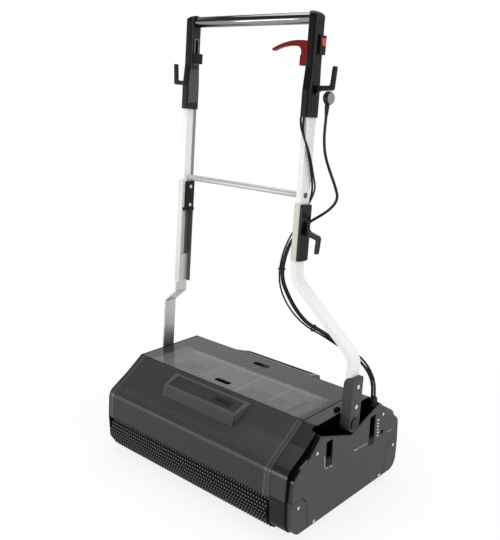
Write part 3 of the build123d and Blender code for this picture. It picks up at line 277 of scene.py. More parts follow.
def grain_group():
    """Fine grain as a normal, and slow cloudy variation of colour and gloss."""
    number, colour, vector = "NodeSocketFloat", "NodeSocketColor", "NodeSocketVector"
    group, entry, leave = new_group(
        "fine_grain",
        [("Size", number, 900.0), ("Depth", number, 0.1), ("Cloud size", number, 9.0),
         ("Cloud", number, 0.1), ("Colour", colour, (0.1, 0.1, 0.1, 1.0)),
         ("Roughness", number, 0.4)],
        [("Colour", colour), ("Roughness", number), ("Normal", vector)],
    )
    nodes, links = group.nodes, group.links
    place = nodes.new("ShaderNodeTexCoord")
    fine = nodes.new("ShaderNodeTexNoise")
    fine.inputs["Detail"].default_value = 3.0
    cloud = nodes.new("ShaderNodeTexNoise")
    cloud.inputs["Detail"].default_value = 4.0
    for noise, size in ((fine, "Size"), (cloud, "Cloud size")):
        links.new(place.outputs["Object"], noise.inputs["Vector"])
        links.new(entry.outputs[size], noise.inputs["Scale"])
    bump = nodes.new("ShaderNodeBump")
    bump.inputs["Distance"].default_value = 0.0004
    links.new(entry.outputs["Depth"], bump.inputs["Strength"])
    links.new(fine.outputs["Fac"], bump.inputs["Height"])
    links.new(bump.outputs["Normal"], leave.inputs["Normal"])
    centred = maths(group, "SUBTRACT", cloud.outputs["Fac"], 0.5)
    swing = maths(group, "MULTIPLY", centred, entry.outputs["Cloud"])
    rougher = maths(group, "ADD", entry.outputs["Roughness"], swing)
    links.new(rougher, leave.inputs["Roughness"])
    shade = nodes.new("ShaderNodeHueSaturation")
    links.new(entry.outputs["Colour"], shade.inputs["Color"])
    links.new(maths(group, "ADD", swing, 1.0), shade.inputs["Value"])
    links.new(shade.outputs["Color"], leave.inputs["Colour"])
    return group


fine_grain = grain_group()
print("group", fine_grain.name, len(fine_grain.nodes), "nodes")


# %% A finish built on that group
def finish(name, colour, roughness, grain=0.1, size=900.0, cloud=0.15, **plain):
    """A surface finish; plain holds values for the shader's own sockets."""
    material = bpy.data.materials.new(name)
    material.use_nodes = True
    nodes, links = material.node_tree.nodes, material.node_tree.links
    shader = nodes["Principled BSDF"]
    group = nodes.new("ShaderNodeGroup")
    group.node_tree = fine_grain
    for socket, value in (("Size", size), ("Depth", grain), ("Cloud", cloud),
                          ("Colour", (*colour, 1.0)), ("Roughness", roughness)):
        group.inputs[socket].default_value = value
    for made, socket in (("Colour", "Base Color"), ("Roughness", "Roughness"),
                         ("Normal", "Normal")):
        links.new(group.outputs[made], shader.inputs[socket])
    for socket, value in plain.items():
        shader.inputs[socket.replace("_", " ")].default_value = value
    return material


def grey(shade):
    """A colour with no hue."""
    return (shade, shade, shade)


# %% [markdown]
# Some mouldings have more than one finish on one piece: the drive housing is satin over most of
# its skin and polished on the narrow step beside the side cover. Inside the slot that the handle
# swings in, it is painted black and without reflection: painted shade, as a deep recess holds. The
# steps are flat and square to the axes, so a box in the piece's own coordinates finds each of
# them. A second node group turns such a box into a mask, with edges that can waver a little.

# %% A shared group for a region of a piece
waver_size = 45.0


def region_group():
    """One inside a box and nought outside it.

    Waver roughens the edges, Soft blurs them, and Slope leans the box back with the handle.
    """
    vector, number = "NodeSocketVector", "NodeSocketFloat"
    group, entry, leave = new_group(
        "region",
        [("Low", vector, (0, 0, 0)), ("High", vector, (1, 1, 1)), ("Waver", number, 0.0),
         ("Soft", number, 0.0001), ("Slope", number, 0.0)],
        [("Mask", number)],
    )
    nodes, links = group.nodes, group.links
    place = nodes.new("ShaderNodeTexCoord").outputs["Object"]
    noise = nodes.new("ShaderNodeTexNoise")
    noise.inputs["Scale"].default_value = waver_size
    links.new(place, noise.inputs["Vector"])
    shift = vector_maths(group, "SUBTRACT", noise.outputs["Color"], (0.5, 0.5, 0.5))
    wavering = vector_maths(group, "SCALE", shift, entry.outputs["Waver"])
    rise = nodes.new("ShaderNodeSeparateXYZ")
    links.new(place, rise.inputs[0])
    back = maths(group, "MULTIPLY", maths(group, "SUBTRACT", pivot_height, rise.outputs["Z"]),
                 entry.outputs["Slope"])
    upright = nodes.new("ShaderNodeCombineXYZ")
    for axis, given in (("X", rise.outputs["X"]), ("Z", rise.outputs["Z"]),
                        ("Y", maths(group, "ADD", rise.outputs["Y"], back))):
        links.new(given, upright.inputs[axis])
    here = vector_maths(group, "ADD", upright.outputs[0], wavering)
    above = vector_maths(group, "SUBTRACT", here, entry.outputs["Low"])
    below = vector_maths(group, "SUBTRACT", entry.outputs["High"], here)
    least = vector_maths(group, "MINIMUM", above, below)
    parts = nodes.new("ShaderNodeSeparateXYZ")
    links.new(least, parts.inputs[0])
    flat = maths(group, "MINIMUM", parts.outputs["X"], parts.outputs["Y"])
    depth = maths(group, "MINIMUM", flat, parts.outputs["Z"])
    share = maths(group, "DIVIDE", depth, entry.outputs["Soft"])
    mask = maths(group, "MINIMUM", maths(group, "MAXIMUM", share, 0.0), 1.0)
    links.new(mask, leave.inputs["Mask"])
    return group


region = region_group()
print("group", region.name, len(region.nodes), "nodes")

# %% A region laid on a finish
# Where a mix node of each kind keeps its first side, its second side and its result
mix_places = {"FLOAT": (2, 3, 0), "RGBA": (6, 7, 2)}


def in_region(material, low, high, colour, roughness, waver=0.0, soft=0.0001, slope=0.0,
              metallic=None):
    """Another colour and gloss on the part of a piece that lies inside a box."""
    nodes, links = material.node_tree.nodes, material.node_tree.links
    shader = nodes["Principled BSDF"]
    mask = nodes.new("ShaderNodeGroup")
    mask.node_tree = region
    for socket, value in (("Low", low), ("High", high), ("Waver", waver), ("Soft", soft),
                          ("Slope", slope)):
        mask.inputs[socket].default_value = value
    changes = [("Base Color", "RGBA", (*colour, 1.0)), ("Roughness", "FLOAT", roughness)]
    if metallic is not None:
        changes.append(("Metallic", "FLOAT", metallic))
    for socket, kind, inside in changes:
        target = shader.inputs[socket]
        outside = target.links[0].from_socket if target.links else target.default_value
        mix = nodes.new("ShaderNodeMix")
        mix.data_type = kind
        first, second, result = mix_places[kind]
        links.new(mask.outputs["Mask"], mix.inputs[0])
        put(material.node_tree, mix.inputs[first], outside)
        put(material.node_tree, mix.inputs[second], inside)
        links.new(mix.outputs[result], target)


# %% [markdown]
# The lid, the covers and the housings are black or smoked plastic. Dark plastic looks grey mostly
# because it mirrors the room, so its own colour is nearly black and its mirror strength is held
# low. The lid is smoked and polished, so the room shows in it. What would show through it of the
# tanks below is painted on it, as soft paler and darker fields along its front half.

# %% Plastics
# A region that is open on a side reaches past the whole machine there
beyond = 1.0
overhead = 2.0
dull = {"Specular_IOR_Level": 0.25}
smoked_lid = finish("smoked_lid", (0.022, 0.022, 0.0225), 0.07, grain=0.01, cloud=0.10,
                    Specular_IOR_Level=0.30)
tank_back = 0.030
tank_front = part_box("lid")[0][1]
for low, high, shade, waver, soft in (
    ((-0.300, tank_front - 0.010), (0.285, tank_back + 0.004), 0.088, 0.020, 0.014),
    ((-0.262, tank_front + 0.010), (0.255, tank_back - 0.004), 0.112, 0.030, 0.012),
    ((-0.250, tank_back - 0.026), (0.262, tank_back - 0.006), 0.160, 0.012, 0.006),
    ((-0.215, tank_front + 0.008), (-0.120, tank_back - 0.070), 0.078, 0.030, 0.016),
    ((0.060, tank_front + 0.006), (0.215, tank_back - 0.085), 0.086, 0.030, 0.014),
    ((-0.120, tank_front + 0.006), (-0.110, tank_back - 0.026), 0.070, 0.014, 0.004),
    ((-0.094, tank_front + 0.006), (-0.084, tank_back - 0.030), 0.150, 0.014, 0.005),
    ((0.040, tank_front + 0.010), (0.054, tank_back - 0.030), 0.160, 0.020, 0.006),
    ((0.150, tank_front + 0.020), (0.162, tank_back - 0.024), 0.155, 0.020, 0.006),
    ((0.228, tank_front + 0.006), (0.250, tank_back - 0.050), 0.062, 0.020, 0.008),
):
    in_region(smoked_lid, (*low, 0.0), (*high, beyond), grey(shade), 0.09,
              waver=waver, soft=soft)
cover_grey = finish("cover_grey", (0.041, 0.041, 0.042), 0.29, grain=0.04, size=1400.0,
                    Specular_IOR_Level=0.32)
# The paler strips along the beads at the covers' ends are painted highlights of light caught in the
# translucent edges; the beads are also glossier.
for left, right, shade, gloss in (
    (0.2795, 0.3000, 0.048, 0.26), (0.2806, 0.2878, 0.074, 0.18), (0.2972, 0.3000, 0.070, 0.20),
    (-0.3420, -0.3215, 0.048, 0.26), (-0.3298, -0.3226, 0.070, 0.18),
):
    in_region(cover_grey, (left, -beyond, 0.0), (right, beyond, beyond), grey(shade), gloss)
housing_black = finish("housing_black", (0.016, 0.016, 0.0165), 0.27, grain=0.02, cloud=0.10,
                       Specular_IOR_Level=0.50)
step_face = 0.3505
slot_shade_low = (0.3350, -0.136, 0.205)
slot_shade_high = (0.3770, 0.136, 0.2765)
in_region(housing_black, (step_face, -beyond, 0.0), (beyond, beyond, beyond), grey(0.003), 0.14)
# Inside the handle's slot the housing is painted black and without reflection: painted shade of the
# deep recess.
in_region(housing_black, slot_shade_low, slot_shade_high, grey(0.0005), 0.95, metallic=1.0)
side_grey = finish("side_grey", grey(0.052), 0.55, grain=0.20, size=1600.0, **dull)
corner_grey = finish("corner_grey", (0.050, 0.050, 0.051), 0.50, grain=0.12, size=1500.0,
                     Specular_IOR_Level=0.22)
corner_face = 0.3520
# The corner covers' front faces are painted far darker than their side faces: painted shade on the
# faces that look forward.
in_region(corner_grey, (0.0, -beyond, 0.0), (corner_face, beyond, beyond), (0.005, 0.005, 0.0055),
          0.50)
grip_smoke = finish("grip_smoke", (0.075, 0.075, 0.076), 0.30, grain=0.03, size=1400.0,
                    Specular_IOR_Level=0.14)
# The grip's colour is paler than the cover's as a painted highlight of its edge-lit rim. The dish
# inside the rim and a soft patch in it are painted darker as shade, and a band along the grip's
# outer face is painted back down to about the cover's tone.
for side in (-1, 1):
    for left, right, near, far, shade, soft in (
        (-0.1530, 0.1110, 0.1410, 0.1830, 0.034, 0.0012),
        (0.0100, 0.0900, 0.1450, 0.1790, 0.004, 0.0180),
        (-0.2000, 0.2000, 0.1908, 0.2100, 0.030, 0.0010),
    ):
        low, high = sorted((side * near, side * far))
        in_region(grip_smoke, (left, low, 0.0), (right, high, beyond), grey(shade), 0.30,
                  soft=soft)
button_black = finish("button_black", grey(0.003), 0.60, Specular_IOR_Level=0.04)
black_moulding = finish("black_moulding", (0.005, 0.005, 0.0055), 0.32, grain=0.20, size=1500.0,
                        Specular_IOR_Level=0.17)
slider_moulding = finish("slider_moulding", (0.006, 0.006, 0.0065), 0.36, grain=0.45, size=700.0,
                         Specular_IOR_Level=0.28)
slider_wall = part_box("left_grip_housing")[1][0]
# Two bands on the left grip housing's inner face are painted paler: a painted reflection of the
# light that face catches.
in_region(slider_moulding, (slider_wall - 0.0010, -beyond, 1.150), (0.0, beyond, 1.245),
          (0.150, 0.150, 0.155), 0.40)
in_region(slider_moulding, (slider_wall - 0.0032, -beyond, 1.050), (0.0, beyond, 1.145),
          (0.070, 0.070, 0.074), 0.50, waver=0.003)
black_rubber = finish("black_rubber", (0.008, 0.008, 0.0085), 0.45, grain=0.10, size=1200.0, **dull)
drum_black = finish("drum_black", (0.015, 0.015, 0.016), 0.50, grain=0.15, **dull)
gear_nylon = finish("gear_nylon", (0.62, 0.60, 0.54), 0.45, grain=0.06)
tank_grey = finish("tank_grey", (0.62, 0.62, 0.63), 0.40, grain=0.06)
trigger_red = finish("trigger_red", (0.175, 0.008, 0.005), 0.42, grain=0.06,
                     Specular_IOR_Level=0.12)
rocker_red = finish("rocker_red", (0.56, 0.060, 0.038), 0.38, grain=0.02)
plug_grey = finish("plug_grey", (0.250, 0.250, 0.275), 0.45, grain=0.25, size=700.0, **dull)
plug_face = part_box("mains_plug")[1][0]
in_region(plug_grey, (0.0, -beyond, 0.0), (plug_face - 0.0008, beyond, overhead), grey(0.008), 0.40)
print("plastics", len(bpy.data.materials))

# %% [markdown]
# The frame parts are painted or bare metal. White enamel is a plain dielectric. The flat bar, the
# channel, the sleeve and the cross bar are bare, so they are metallic, but not fully: a film of
# oxide on them scatters light as paint does. Only the hand grip is bright chrome.

# %% Metals
frame_black = finish("frame_black", (0.014, 0.014, 0.0145), 0.45, grain=0.10, **dull)
motor_paint = finish("motor_paint", (0.060, 0.060, 0.063), 0.45, grain=0.12)
zinc = finish("zinc", (0.66, 0.66, 0.65), 0.32, grain=0.10, Metallic=0.85)
plain_steel = finish("plain_steel", (0.66, 0.66, 0.65), 0.32, grain=0.10, Metallic=0.60)
in_region(plain_steel, (0.135, -beyond, 0.780), (beyond, beyond, beyond), grey(0.085), 0.35)
white_enamel = finish("white_enamel", (0.83, 0.83, 0.82), 0.38, grain=0.0, cloud=0.0,
                      Specular_IOR_Level=0.35)
left_enamel = finish("left_enamel", grey(0.88), 0.30, grain=0.0, cloud=0.0)
inner_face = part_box("left_upper_tube")[1][0]
# The rear strip of the left tube's inner face is painted dark grey: painted shade on its rounded
# rear corner.
in_region(left_enamel, (inner_face - 0.0004, 0.0060, 0.0), (0.0, beyond, overhead),
          (0.24, 0.25, 0.25), 0.35, slope=math.tan(lean))
sleeve_alloy = finish("sleeve_alloy", (0.50, 0.48, 0.41), 0.45, grain=0.02, size=700.0, cloud=0.02,
                      Metallic=0.30)
satin_alloy = finish("satin_alloy", (0.55, 0.55, 0.51), 0.42, grain=0.12, size=700.0, Metallic=0.45)
# The channel's rear flange is painted darker: painted shade inside the channel.
in_region(satin_alloy, (-beyond, 0.0075, 0.0), (0.0, beyond, overhead), (0.15, 0.15, 0.125), 0.40,
          slope=math.tan(lean))
cross_alloy = finish("cross_alloy", (0.58, 0.59, 0.57), 0.40, grain=0.0, cloud=0.0, Metallic=0.40)
worn_steel_and_painted_shade = finish("worn_steel_and_painted_shade", (0.56, 0.56, 0.54), 0.36, grain=0.12, size=700.0, cloud=0.30,
                    Metallic=0.60)
bar_bend = 0.345
# Below its bend, where the flat bar hangs upright, the steel is painted darker: painted shade.
in_region(worn_steel_and_painted_shade, (-beyond, -beyond, 0.0), (0.0, beyond, bar_bend), grey(0.20), 0.30, soft=0.05)
chrome = finish("chrome", (0.27, 0.285, 0.29), 0.11, grain=0.01, cloud=0.04, Metallic=1.0,
                Specular_Tint=(0.35, 0.35, 0.36, 1.0))
print("plastics and metals", len(bpy.data.materials))

# %% Each rigid piece gets its finish
finishes = {
    "lid": smoked_lid,
    "front_cover": cover_grey, "rear_cover": cover_grey,
    "front_cover_grip": grip_smoke, "rear_cover_grip": grip_smoke,
    "front_corner_cover": corner_grey, "rear_corner_cover": corner_grey,
    "drive_housing": housing_black, "side_cover": side_grey, "right_bracket": side_grey,
    "left_side_plate": frame_black, "right_frame_plate": frame_black,
    "tank_rails": frame_black, "tie_rods": zinc,
    "shaft_bearings": zinc, "chassis_pins": zinc, "cover_screws": zinc,
    "handle_screws": plain_steel,
    "pivot_stubs": black_moulding, "drive_motor": motor_paint,
    "right_lower_leg": white_enamel, "right_upper_tube": white_enamel,
    "right_sleeve": sleeve_alloy, "left_upper_tube": left_enamel,
    "left_channel": satin_alloy, "left_bar": worn_steel_and_painted_shade,
    "right_grip_housing": black_moulding, "left_grip_housing": slider_moulding,
    "hook_cover": black_moulding, "left_clamp": black_moulding, "cable_gland": black_rubber,
    "cable_ties": black_moulding, "dosing_slider": black_moulding,
    "front_adjuster": black_moulding, "rear_adjuster": black_moulding,
    "reset_button": button_black, "latch_button": button_black,
    "pickup_drum": drum_black, "front_brush_core": drum_black, "rear_brush_core": drum_black,
    "solution_tank": tank_grey, "recovery_tank": tank_grey,
    "rocker_switch": rocker_red, "trigger_lever": trigger_red, "mains_plug": plug_grey,
}
for gear in ("drum_gear", "front_brush_gear", "rear_brush_gear", "idler_gear_1", "idler_gear_2",
             "idler_gear_3", "motor_pinion"):
    finishes[gear] = gear_nylon
for name, material in finishes.items():
    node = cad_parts[name]
    for place in node.material_slots:
        place.material = material
for piece in cords.values():
    piece.data.materials.append(black_rubber)
bare = [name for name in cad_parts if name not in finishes]
print("finished", len(finishes), "pieces; left to new pieces:", bare)


# %% [markdown]
# ## Hand grip and cross bar
#
# Both are drawn tubes, and polished metal shows every flat of a coarse cylinder. So each is made
# again with many more sides at the same size and place: a cylinder, its two ends inset and pushed
# in for the bore, its rims bevelled, and its sides shaded smooth.

# %% Helpers for edit mode
def edit_all(piece):
    """Edit mode with the whole mesh selected."""
    choose(piece)
    bpy.ops.object.mode_set(mode="EDIT")
    bpy.ops.mesh.select_all(action="SELECT")


def edit_faces(piece, wanted):
    """Edit mode with only the faces for which wanted(centre, normal) is true."""
    choose(piece)
    bpy.ops.object.mode_set(mode="EDIT")
    bpy.ops.mesh.select_all(action="DESELECT")
    bpy.ops.mesh.select_mode(type="FACE")
    bpy.ops.object.mode_set(mode="OBJECT")
    for face in piece.data.polygons:
        face.select = bool(wanted(face.center, face.normal))
    bpy.ops.object.mode_set(mode="EDIT")


def leave_edit():
    """Back to object mode."""
    bpy.ops.object.mode_set(mode="OBJECT")


def bevelled(piece, width, segments=2):
    """Rounds the sharp edges of a piece with an applied modifier."""
    bevel = piece.modifiers.new("rim", "BEVEL")
    bevel.width = width
    bevel.segments = segments
    bevel.limit_method = "ANGLE"
    bevel.angle_limit = math.radians(40)
    choose(piece)
    bpy.ops.object.modifier_apply(modifier="rim")
    bpy.ops.object.shade_smooth_by_angle(angle=math.radians(35))


# %% Smooth tubes
# A face counts as an end when its normal is at least this much along the axis
end_facing = 0.9
bore_depth = 0.02
tube_wall = 0.0015
tube_rim = 0.0004
tube_sides = 72
# The inset face of an end has its centre this near the axis, as a share of the radius
inset_reach = 0.2


def smooth_tube(name, node, material):
    """A drawn tube along X with open ends, in place of a node's coarser one."""
    low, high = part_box(node)
    deselect()
    radius = (high[1] - low[1]) / 2
    middle_place = [(a + b) / 2 for a, b in zip(low, high)]
    bpy.ops.mesh.primitive_cylinder_add(
        vertices=tube_sides, radius=radius, depth=high[0] - low[0], location=middle_place,
        rotation=(0, math.pi / 2, 0),
    )
    tube = bpy.context.active_object
    tube.name = name
    place_in_mesh(tube)
    edit_faces(tube, lambda centre, normal: abs(normal.x) > end_facing)
    bpy.ops.mesh.inset(thickness=tube_wall, use_individual=True)
    leave_edit()
    for side in (-1, 1):
        edit_faces(tube, lambda centre, normal: normal.x * side > end_facing
                   and math.dist(centre[1:], middle_place[1:]) < radius * inset_reach)
        push = (-side * bore_depth, 0, 0)
        bpy.ops.mesh.extrude_region_move(TRANSFORM_OT_translate={"value": push})
        leave_edit()
    bevelled(tube, tube_rim)
    tube.data.materials.append(material)
    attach(tube, "handle")
    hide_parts(node)
    print(name, "radius", round(radius, 4), "faces", len(tube.data.polygons))


smooth_tube("chrome_grip", "hand_grip", chrome)
smooth_tube("cross_tube", "cross_bar", cross_alloy)


# %% [markdown]
# ## Brushes
#
# A cylindrical brush is a tube drilled with thousands of holes, each with a tuft of nylon in it.
# The tufts stand in rows along the brush, and every second row is shifted by half a step. One
# tuft is a small flared cone. An array makes a row of it, and such a row is made for each place
# round the axis. Each tuft's end face gets a paler finish: a painted highlight of the light that
# catches the tips.

# %% Tuft finishes
bristle_black = finish("bristle_black", (0.004, 0.004, 0.0042), 0.60, grain=0.05, cloud=0.4,
                       Specular_IOR_Level=0.10)
# The tips' paler colour is a painted highlight.
tuft_tip_highlight = finish("tuft_tip_highlight", grey(0.120), 0.55, grain=0.60, size=2500.0, cloud=0.9, **dull)

# %% Rows of tufts round the brush
brush_radius = 0.066
tuft_root = 0.0634
tuft_step = 0.0098
tuft_rows = 44
tuft_width = 0.0041
tuft_root_share = 0.40
tuft_tip_share = 0.62
sleeve_rise = 0.0006
sleeve_sides = 64
sleeve_rim = 0.001


def tuft_row(name, left, right, y, z, shift):
    """A row of tufts that points up from a brush's axis."""
    deselect()
    height = brush_radius - tuft_root
    bpy.ops.mesh.primitive_cone_add(
        vertices=8, radius1=tuft_width * tuft_root_share, radius2=tuft_width * tuft_tip_share,
        depth=height, location=(left + tuft_width + shift, y, z + tuft_root + height / 2),
    )
    row = bpy.context.active_object
    row.name = name
    place_in_mesh(row)
    row.data.materials.append(bristle_black)
    row.data.materials.append(tuft_tip_highlight)
    for face in row.data.polygons:
        face.material_index = 1 if face.normal.z > end_facing else 0
    array = row.modifiers.new("row", "ARRAY")
    array.use_relative_offset = False
    array.use_constant_offset = True
    array.constant_offset_displace = (tuft_step, 0, 0)
    array.count = int((right - left - 2 * tuft_width - shift) / tuft_step) + 1
    choose(row)
    bpy.ops.object.modifier_apply(modifier="row")
    return row


def brush_tufts(node, body):
    """All the tufts of one brush, and the sleeve that holds them."""
    low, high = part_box(node)
    y = (low[1] + high[1]) / 2
    z = (low[2] + high[2]) / 2
    rows = []
    for index in range(tuft_rows):
        shift = tuft_step / 2 if index % 2 else 0.0
        row = tuft_row(f"{body}_row", low[0], high[0], y, z, shift)
        turn = Matrix.Rotation(index * 2 * math.pi / tuft_rows, 4, "X")
        to_axis = Matrix.Translation((0, y, z))
        row.data.transform(to_axis @ turn @ to_axis.inverted())
        rows.append(row)
    deselect()
    bpy.ops.mesh.primitive_cylinder_add(
        vertices=sleeve_sides, radius=tuft_root + sleeve_rise, depth=high[0] - low[0],
        rotation=(0, math.pi / 2, 0), location=((low[0] + high[0]) / 2, y, z),
    )
    sleeve = bpy.context.active_object
    place_in_mesh(sleeve)
    sleeve.data.materials.append(bristle_black)
    bevelled(sleeve, sleeve_rim)
    deselect()
    for row in rows:
        row.select_set(True)
    sleeve.select_set(True)
    bpy.context.view_layer.objects.active = sleeve
    bpy.ops.object.join()
    sleeve.name = f"{body}_tufts"
    sleeve.data.name = sleeve.name
    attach(sleeve, body)
    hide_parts(node)
    print(sleeve.name, len(sleeve.data.polygons), "faces")


brush_tufts("front_brush_bristles", "front_brush")
brush_tufts("rear_brush_bristles", "rear_brush")

# %% [markdown]
# ## Marks on the side cover
#
# White marks are printed beside the two adjuster slots and the reset button: a scale of short
# ticks, a corner mark and some leader lines. Print is a film with hardly any thickness, so each
# stroke is a flat bar a fifth of a millimetre proud of the cover, with its outer edges rounded.

# %% Printed strokes
mark_white = finish("mark_white", grey(0.80), 0.50, grain=0.02, cloud=0.05)
side_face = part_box("side_cover")[1][0]
film = 0.0002
film_rim = 0.00008


def stroke(y_start, z_start, y_end, z_end, width):
    """A printed line on the side cover between two places."""
    deselect()
    rise = math.atan2(z_end - z_start, y_end - y_start)
    length = math.hypot(z_end - z_start, y_end - y_start)
    bpy.ops.mesh.primitive_cube_add(
        size=1.0, location=(side_face, (y_start + y_end) / 2, (z_start + z_end) / 2),
        rotation=(rise, 0, 0), scale=(2 * film, length, width),
    )
    mark = bpy.context.active_object
    place_in_mesh(mark)
    bevelled(mark, film_rim, segments=1)
    return mark


strokes = [stroke(*places) for places in (
    (-0.1195, 0.2000, -0.1175, 0.1690, 0.0013), (-0.1165, 0.1640, -0.1050, 0.1622, 0.0010),
    (-0.0960, 0.1605, -0.0830, 0.1590, 0.0010), (0.0400, 0.1608, 0.0830, 0.1590, 0.0009),
    (0.0168, 0.1622, 0.0330, 0.1612, 0.0016), (0.1870, 0.1545, 0.2130, 0.1525, 0.0007),
)]
tick_count, tick_width, tick_tilt = 6, 0.0034, 0.0005
tick_top, tick_gap = 0.2120, 0.0098
tick_left, tick_slant = 0.1270, 0.0006
long_tick, short_tick = 0.0100, 0.0075
for index in range(tick_count):
    z = tick_top - index * tick_gap
    y = tick_left + index * tick_slant
    length = short_tick if index % 2 else long_tick
    strokes.append(stroke(y, z, y + length, z - tick_tilt, tick_width))
deselect()
for mark in strokes:
    mark.select_set(True)
bpy.context.view_layer.objects.active = strokes[0]
bpy.ops.object.join()
side_marks = strokes[0]
side_marks.name = "side_marks"
side_marks.data.materials.append(mark_white)
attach(side_marks, "chassis")
print("side marks", len(side_marks.data.polygons), "faces")

# %% [markdown]
# ## Plug boot
#
# Where the mains lead leaves the plug, a soft tapered boot keeps it from kinking. It is a cone
# with rings pressed in round it, made from stacked circles: one filled circle, extruded down and
# scaled step by step, a little out and then further in.

# %% Tapered boot
boot_top = 1.0655
boot_foot = 1.0400
boot_steps = 9
boot_radius = 0.0064
boot_sides = 32
boot_rim = 0.0003
boot_out, boot_in = 1.06, 0.86


def plug_boot():
    """The ribbed boot under the plug, leaned back with the handle."""
    deselect()
    bpy.ops.mesh.primitive_circle_add(
        vertices=boot_sides, radius=boot_radius, location=(plug_x, 0.0, boot_top), fill_type="NGON"
    )
    boot = bpy.context.active_object
    boot.name = "plug_boot"
    place_in_mesh(boot)
    edit_all(boot)
    step = (boot_top - boot_foot) / boot_steps
    for index in range(boot_steps):
        bpy.ops.mesh.extrude_region_move(TRANSFORM_OT_translate={"value": (0, 0, -step)})
        size = boot_in if index % 2 else boot_out
        bpy.ops.transform.resize(value=(size, size, 1.0), center_override=(plug_x, 0.0, 0.0))
    bpy.ops.mesh.select_all(action="SELECT")
    bpy.ops.mesh.normals_make_consistent(inside=False)
    leave_edit()
    bevelled(boot, boot_rim)
    boot.data.transform(
        Matrix.Translation((-middle, 0, pivot_height)) @ Matrix.Rotation(-lean, 4, "X")
        @ Matrix.Translation((0, 0, -pivot_height))
    )
    boot.data.materials.append(black_rubber)
    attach(boot, "handle")
    return boot


boot = plug_boot()
for corner in (0, 6):
    print("boot corner", [round(v, 4) for v in boot.bound_box[corner]])

# %% Each cord's line and thickness, read once the pieces that sit on them are all made
for name, piece in cords.items():
    line, thickness = lines[name]
    print(name, "declared")

# %% [markdown]
# ## Floor and light
#
# A plain pale floor catches a soft shadow. The camera sees it, and the sky, as near white, and so
# do the shiny pieces. Large soft lamps stand where a studio's would: a wide one overhead, one on
# the drive side and a fill in front. A low narrow strip in front draws the highlights along the
# bends.


# %% Floor
floor_shade = 0.90
floor_drop = 0.0008
floor_size = 40.0
floor_roughness = 0.9
fade_start, fade_end = 0.35, 1.40
near_white = 0.84


def floor_material():
    """Pale paper: near the machine it takes a shadow, and further out it is plain white."""
    material = bpy.data.materials.new("pale_floor")
    material.use_nodes = True
    nodes, links = material.node_tree.nodes, material.node_tree.links
    shader = nodes["Principled BSDF"]
    shader.inputs["Base Color"].default_value = (*grey(floor_shade), 1.0)
    shader.inputs["Roughness"].default_value = floor_roughness
    white = nodes.new("ShaderNodeEmission")
    white.inputs["Strength"].default_value = 1.0
    white.inputs["Color"].default_value = (1.0, 1.0, 1.0, 1.0)
    place = nodes.new("ShaderNodeTexCoord")
    away = nodes.new("ShaderNodeVectorMath")
    away.operation = "LENGTH"
    links.new(place.outputs["Object"], away.inputs[0])
    fade = nodes.new("ShaderNodeMapRange")
    fade.interpolation_type = "SMOOTHSTEP"
    for socket, value in (("From Min", fade_start), ("From Max", fade_end),
                          ("To Min", near_white), ("To Max", 1.0)):
        fade.inputs[socket].default_value = value
    links.new(away.outputs["Value"], fade.inputs["Value"])
    path = nodes.new("ShaderNodeLightPath")
    seen = maths(material.node_tree, "MAXIMUM", path.outputs["Is Camera Ray"],
                 path.outputs["Is Glossy Ray"])
    mix = nodes.new("ShaderNodeMixShader")
    share = maths(material.node_tree, "MULTIPLY", seen, fade.outputs["Result"])
    links.new(share, mix.inputs["Fac"])
    links.new(shader.outputs["BSDF"], mix.inputs[1])
    links.new(white.outputs["Emission"], mix.inputs[2])
    links.new(mix.outputs["Shader"], nodes["Material Output"].inputs["Surface"])
    return material


deselect()
bpy.ops.mesh.primitive_plane_add(size=floor_size, location=(0, 0, -floor_drop))
floor = bpy.context.active_object
floor.name = "floor"
floor.data.materials.append(floor_material())
print("floor", tuple(round(v, 2) for v in floor.dimensions))


# %% Lamps
def lamp(name, place, target, width, height, power, mirrored=True):
    """A soft rectangular lamp that faces a point; mirrored says whether it shows in gloss."""
    bpy.ops.object.light_add(type="AREA", location=place)
    light = bpy.context.active_object
    light.name = name
    light.data.shape = "RECTANGLE"
    light.data.size = width
    light.data.size_y = height
    light.data.energy = power
    way = Vector(target) - Vector(place)
    light.rotation_euler = way.to_track_quat("-Z", "Y").to_euler()
    light.visible_glossy = mirrored
    print(name, power, "watts")


lamp("top_lamp", (-0.3, 0.3, 3.2), (0, 0, 0.3), 2.6, 2.6, 50.0)
lamp("side_lamp", (3.2, -0.4, 1.8), (0.1, 0, 0.6), 2.2, 2.2, 44.0)
lamp("fill_lamp", (-0.9, -3.5, 1.6), (0, 0, 0.4), 1.5, 1.5, 22.0, mirrored=False)
lamp("strip_lamp", (-2.3, -3.3, 0.55), (0, 0, 0.3), 2.2, 0.8, 34.0)

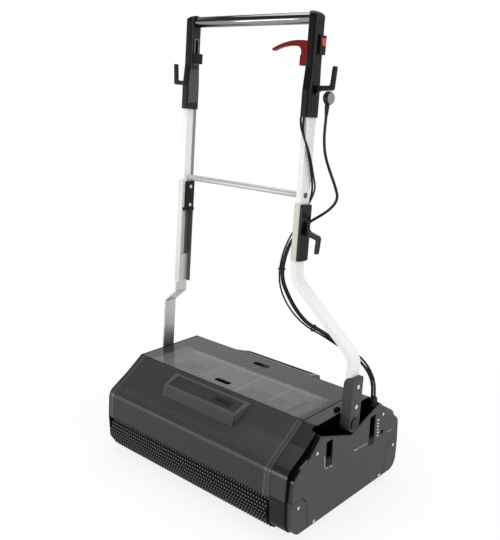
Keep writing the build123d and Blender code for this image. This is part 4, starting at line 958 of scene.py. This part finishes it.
# %% [markdown]
# The sky stands for the room. To the camera, and through anything clear, it is white. To matt
# surfaces it is a plain even fill. To shiny ones it is white behind the machine, where the paper
# hangs, and down at the floor, and dim at the ceiling and above the horizon in front, where the
# room is unlit. That contrast is what makes chrome and polished plastic look like what they are.

# %% Room
toward_front = (-0.25, -0.97, 0.0)
front_fade = (0.0, 0.5)
horizon_fade = (-0.04, 0.22)
ceiling_fade = (0.46, 0.60)
unlit_share = 0.92
even_fill = 0.45
world = bpy.data.worlds.new("studio_room")
bpy.context.scene.world = world
world.use_nodes = True
room = world.node_tree
sky = room.nodes["Background"]
sky.inputs["Color"].default_value = (1.0, 1.0, 1.0, 1.0)
rays = room.nodes.new("ShaderNodeLightPath")
toward = room.nodes.new("ShaderNodeTexCoord")
front = room.nodes.new("ShaderNodeVectorMath")
front.operation = "DOT_PRODUCT"
front.inputs[1].default_value = toward_front
height = room.nodes.new("ShaderNodeSeparateXYZ")
room.links.new(toward.outputs["Generated"], front.inputs[0])
room.links.new(toward.outputs["Generated"], height.inputs[0])


def ramp(socket, low, high):
    """A smooth step from nought to one of a world value."""
    step = room.nodes.new("ShaderNodeMapRange")
    step.interpolation_type = "SMOOTHSTEP"
    step.inputs["From Min"].default_value = low
    step.inputs["From Max"].default_value = high
    room.links.new(socket, step.inputs["Value"])
    return step.outputs["Result"]


unlit = maths(room, "MAXIMUM",
              maths(room, "MULTIPLY", ramp(front.outputs["Value"], *front_fade),
                    ramp(height.outputs["Z"], *horizon_fade)),
              ramp(height.outputs["Z"], *ceiling_fade))
mirrored_room = maths(room, "SUBTRACT", 1.0, maths(room, "MULTIPLY", unlit, unlit_share))
seen = maths(room, "MAXIMUM", rays.outputs["Is Camera Ray"], rays.outputs["Is Transmission Ray"])
shiny = maths(room, "MULTIPLY", rays.outputs["Is Glossy Ray"], mirrored_room)
fill = maths(room, "MULTIPLY", rays.outputs["Is Diffuse Ray"], even_fill)
level = maths(room, "MAXIMUM", maths(room, "MAXIMUM", seen, shiny), fill)
room.links.new(level, sky.inputs["Strength"])
bpy.context.scene.view_settings.view_transform = "Standard"
print("room", len(room.nodes), "nodes")
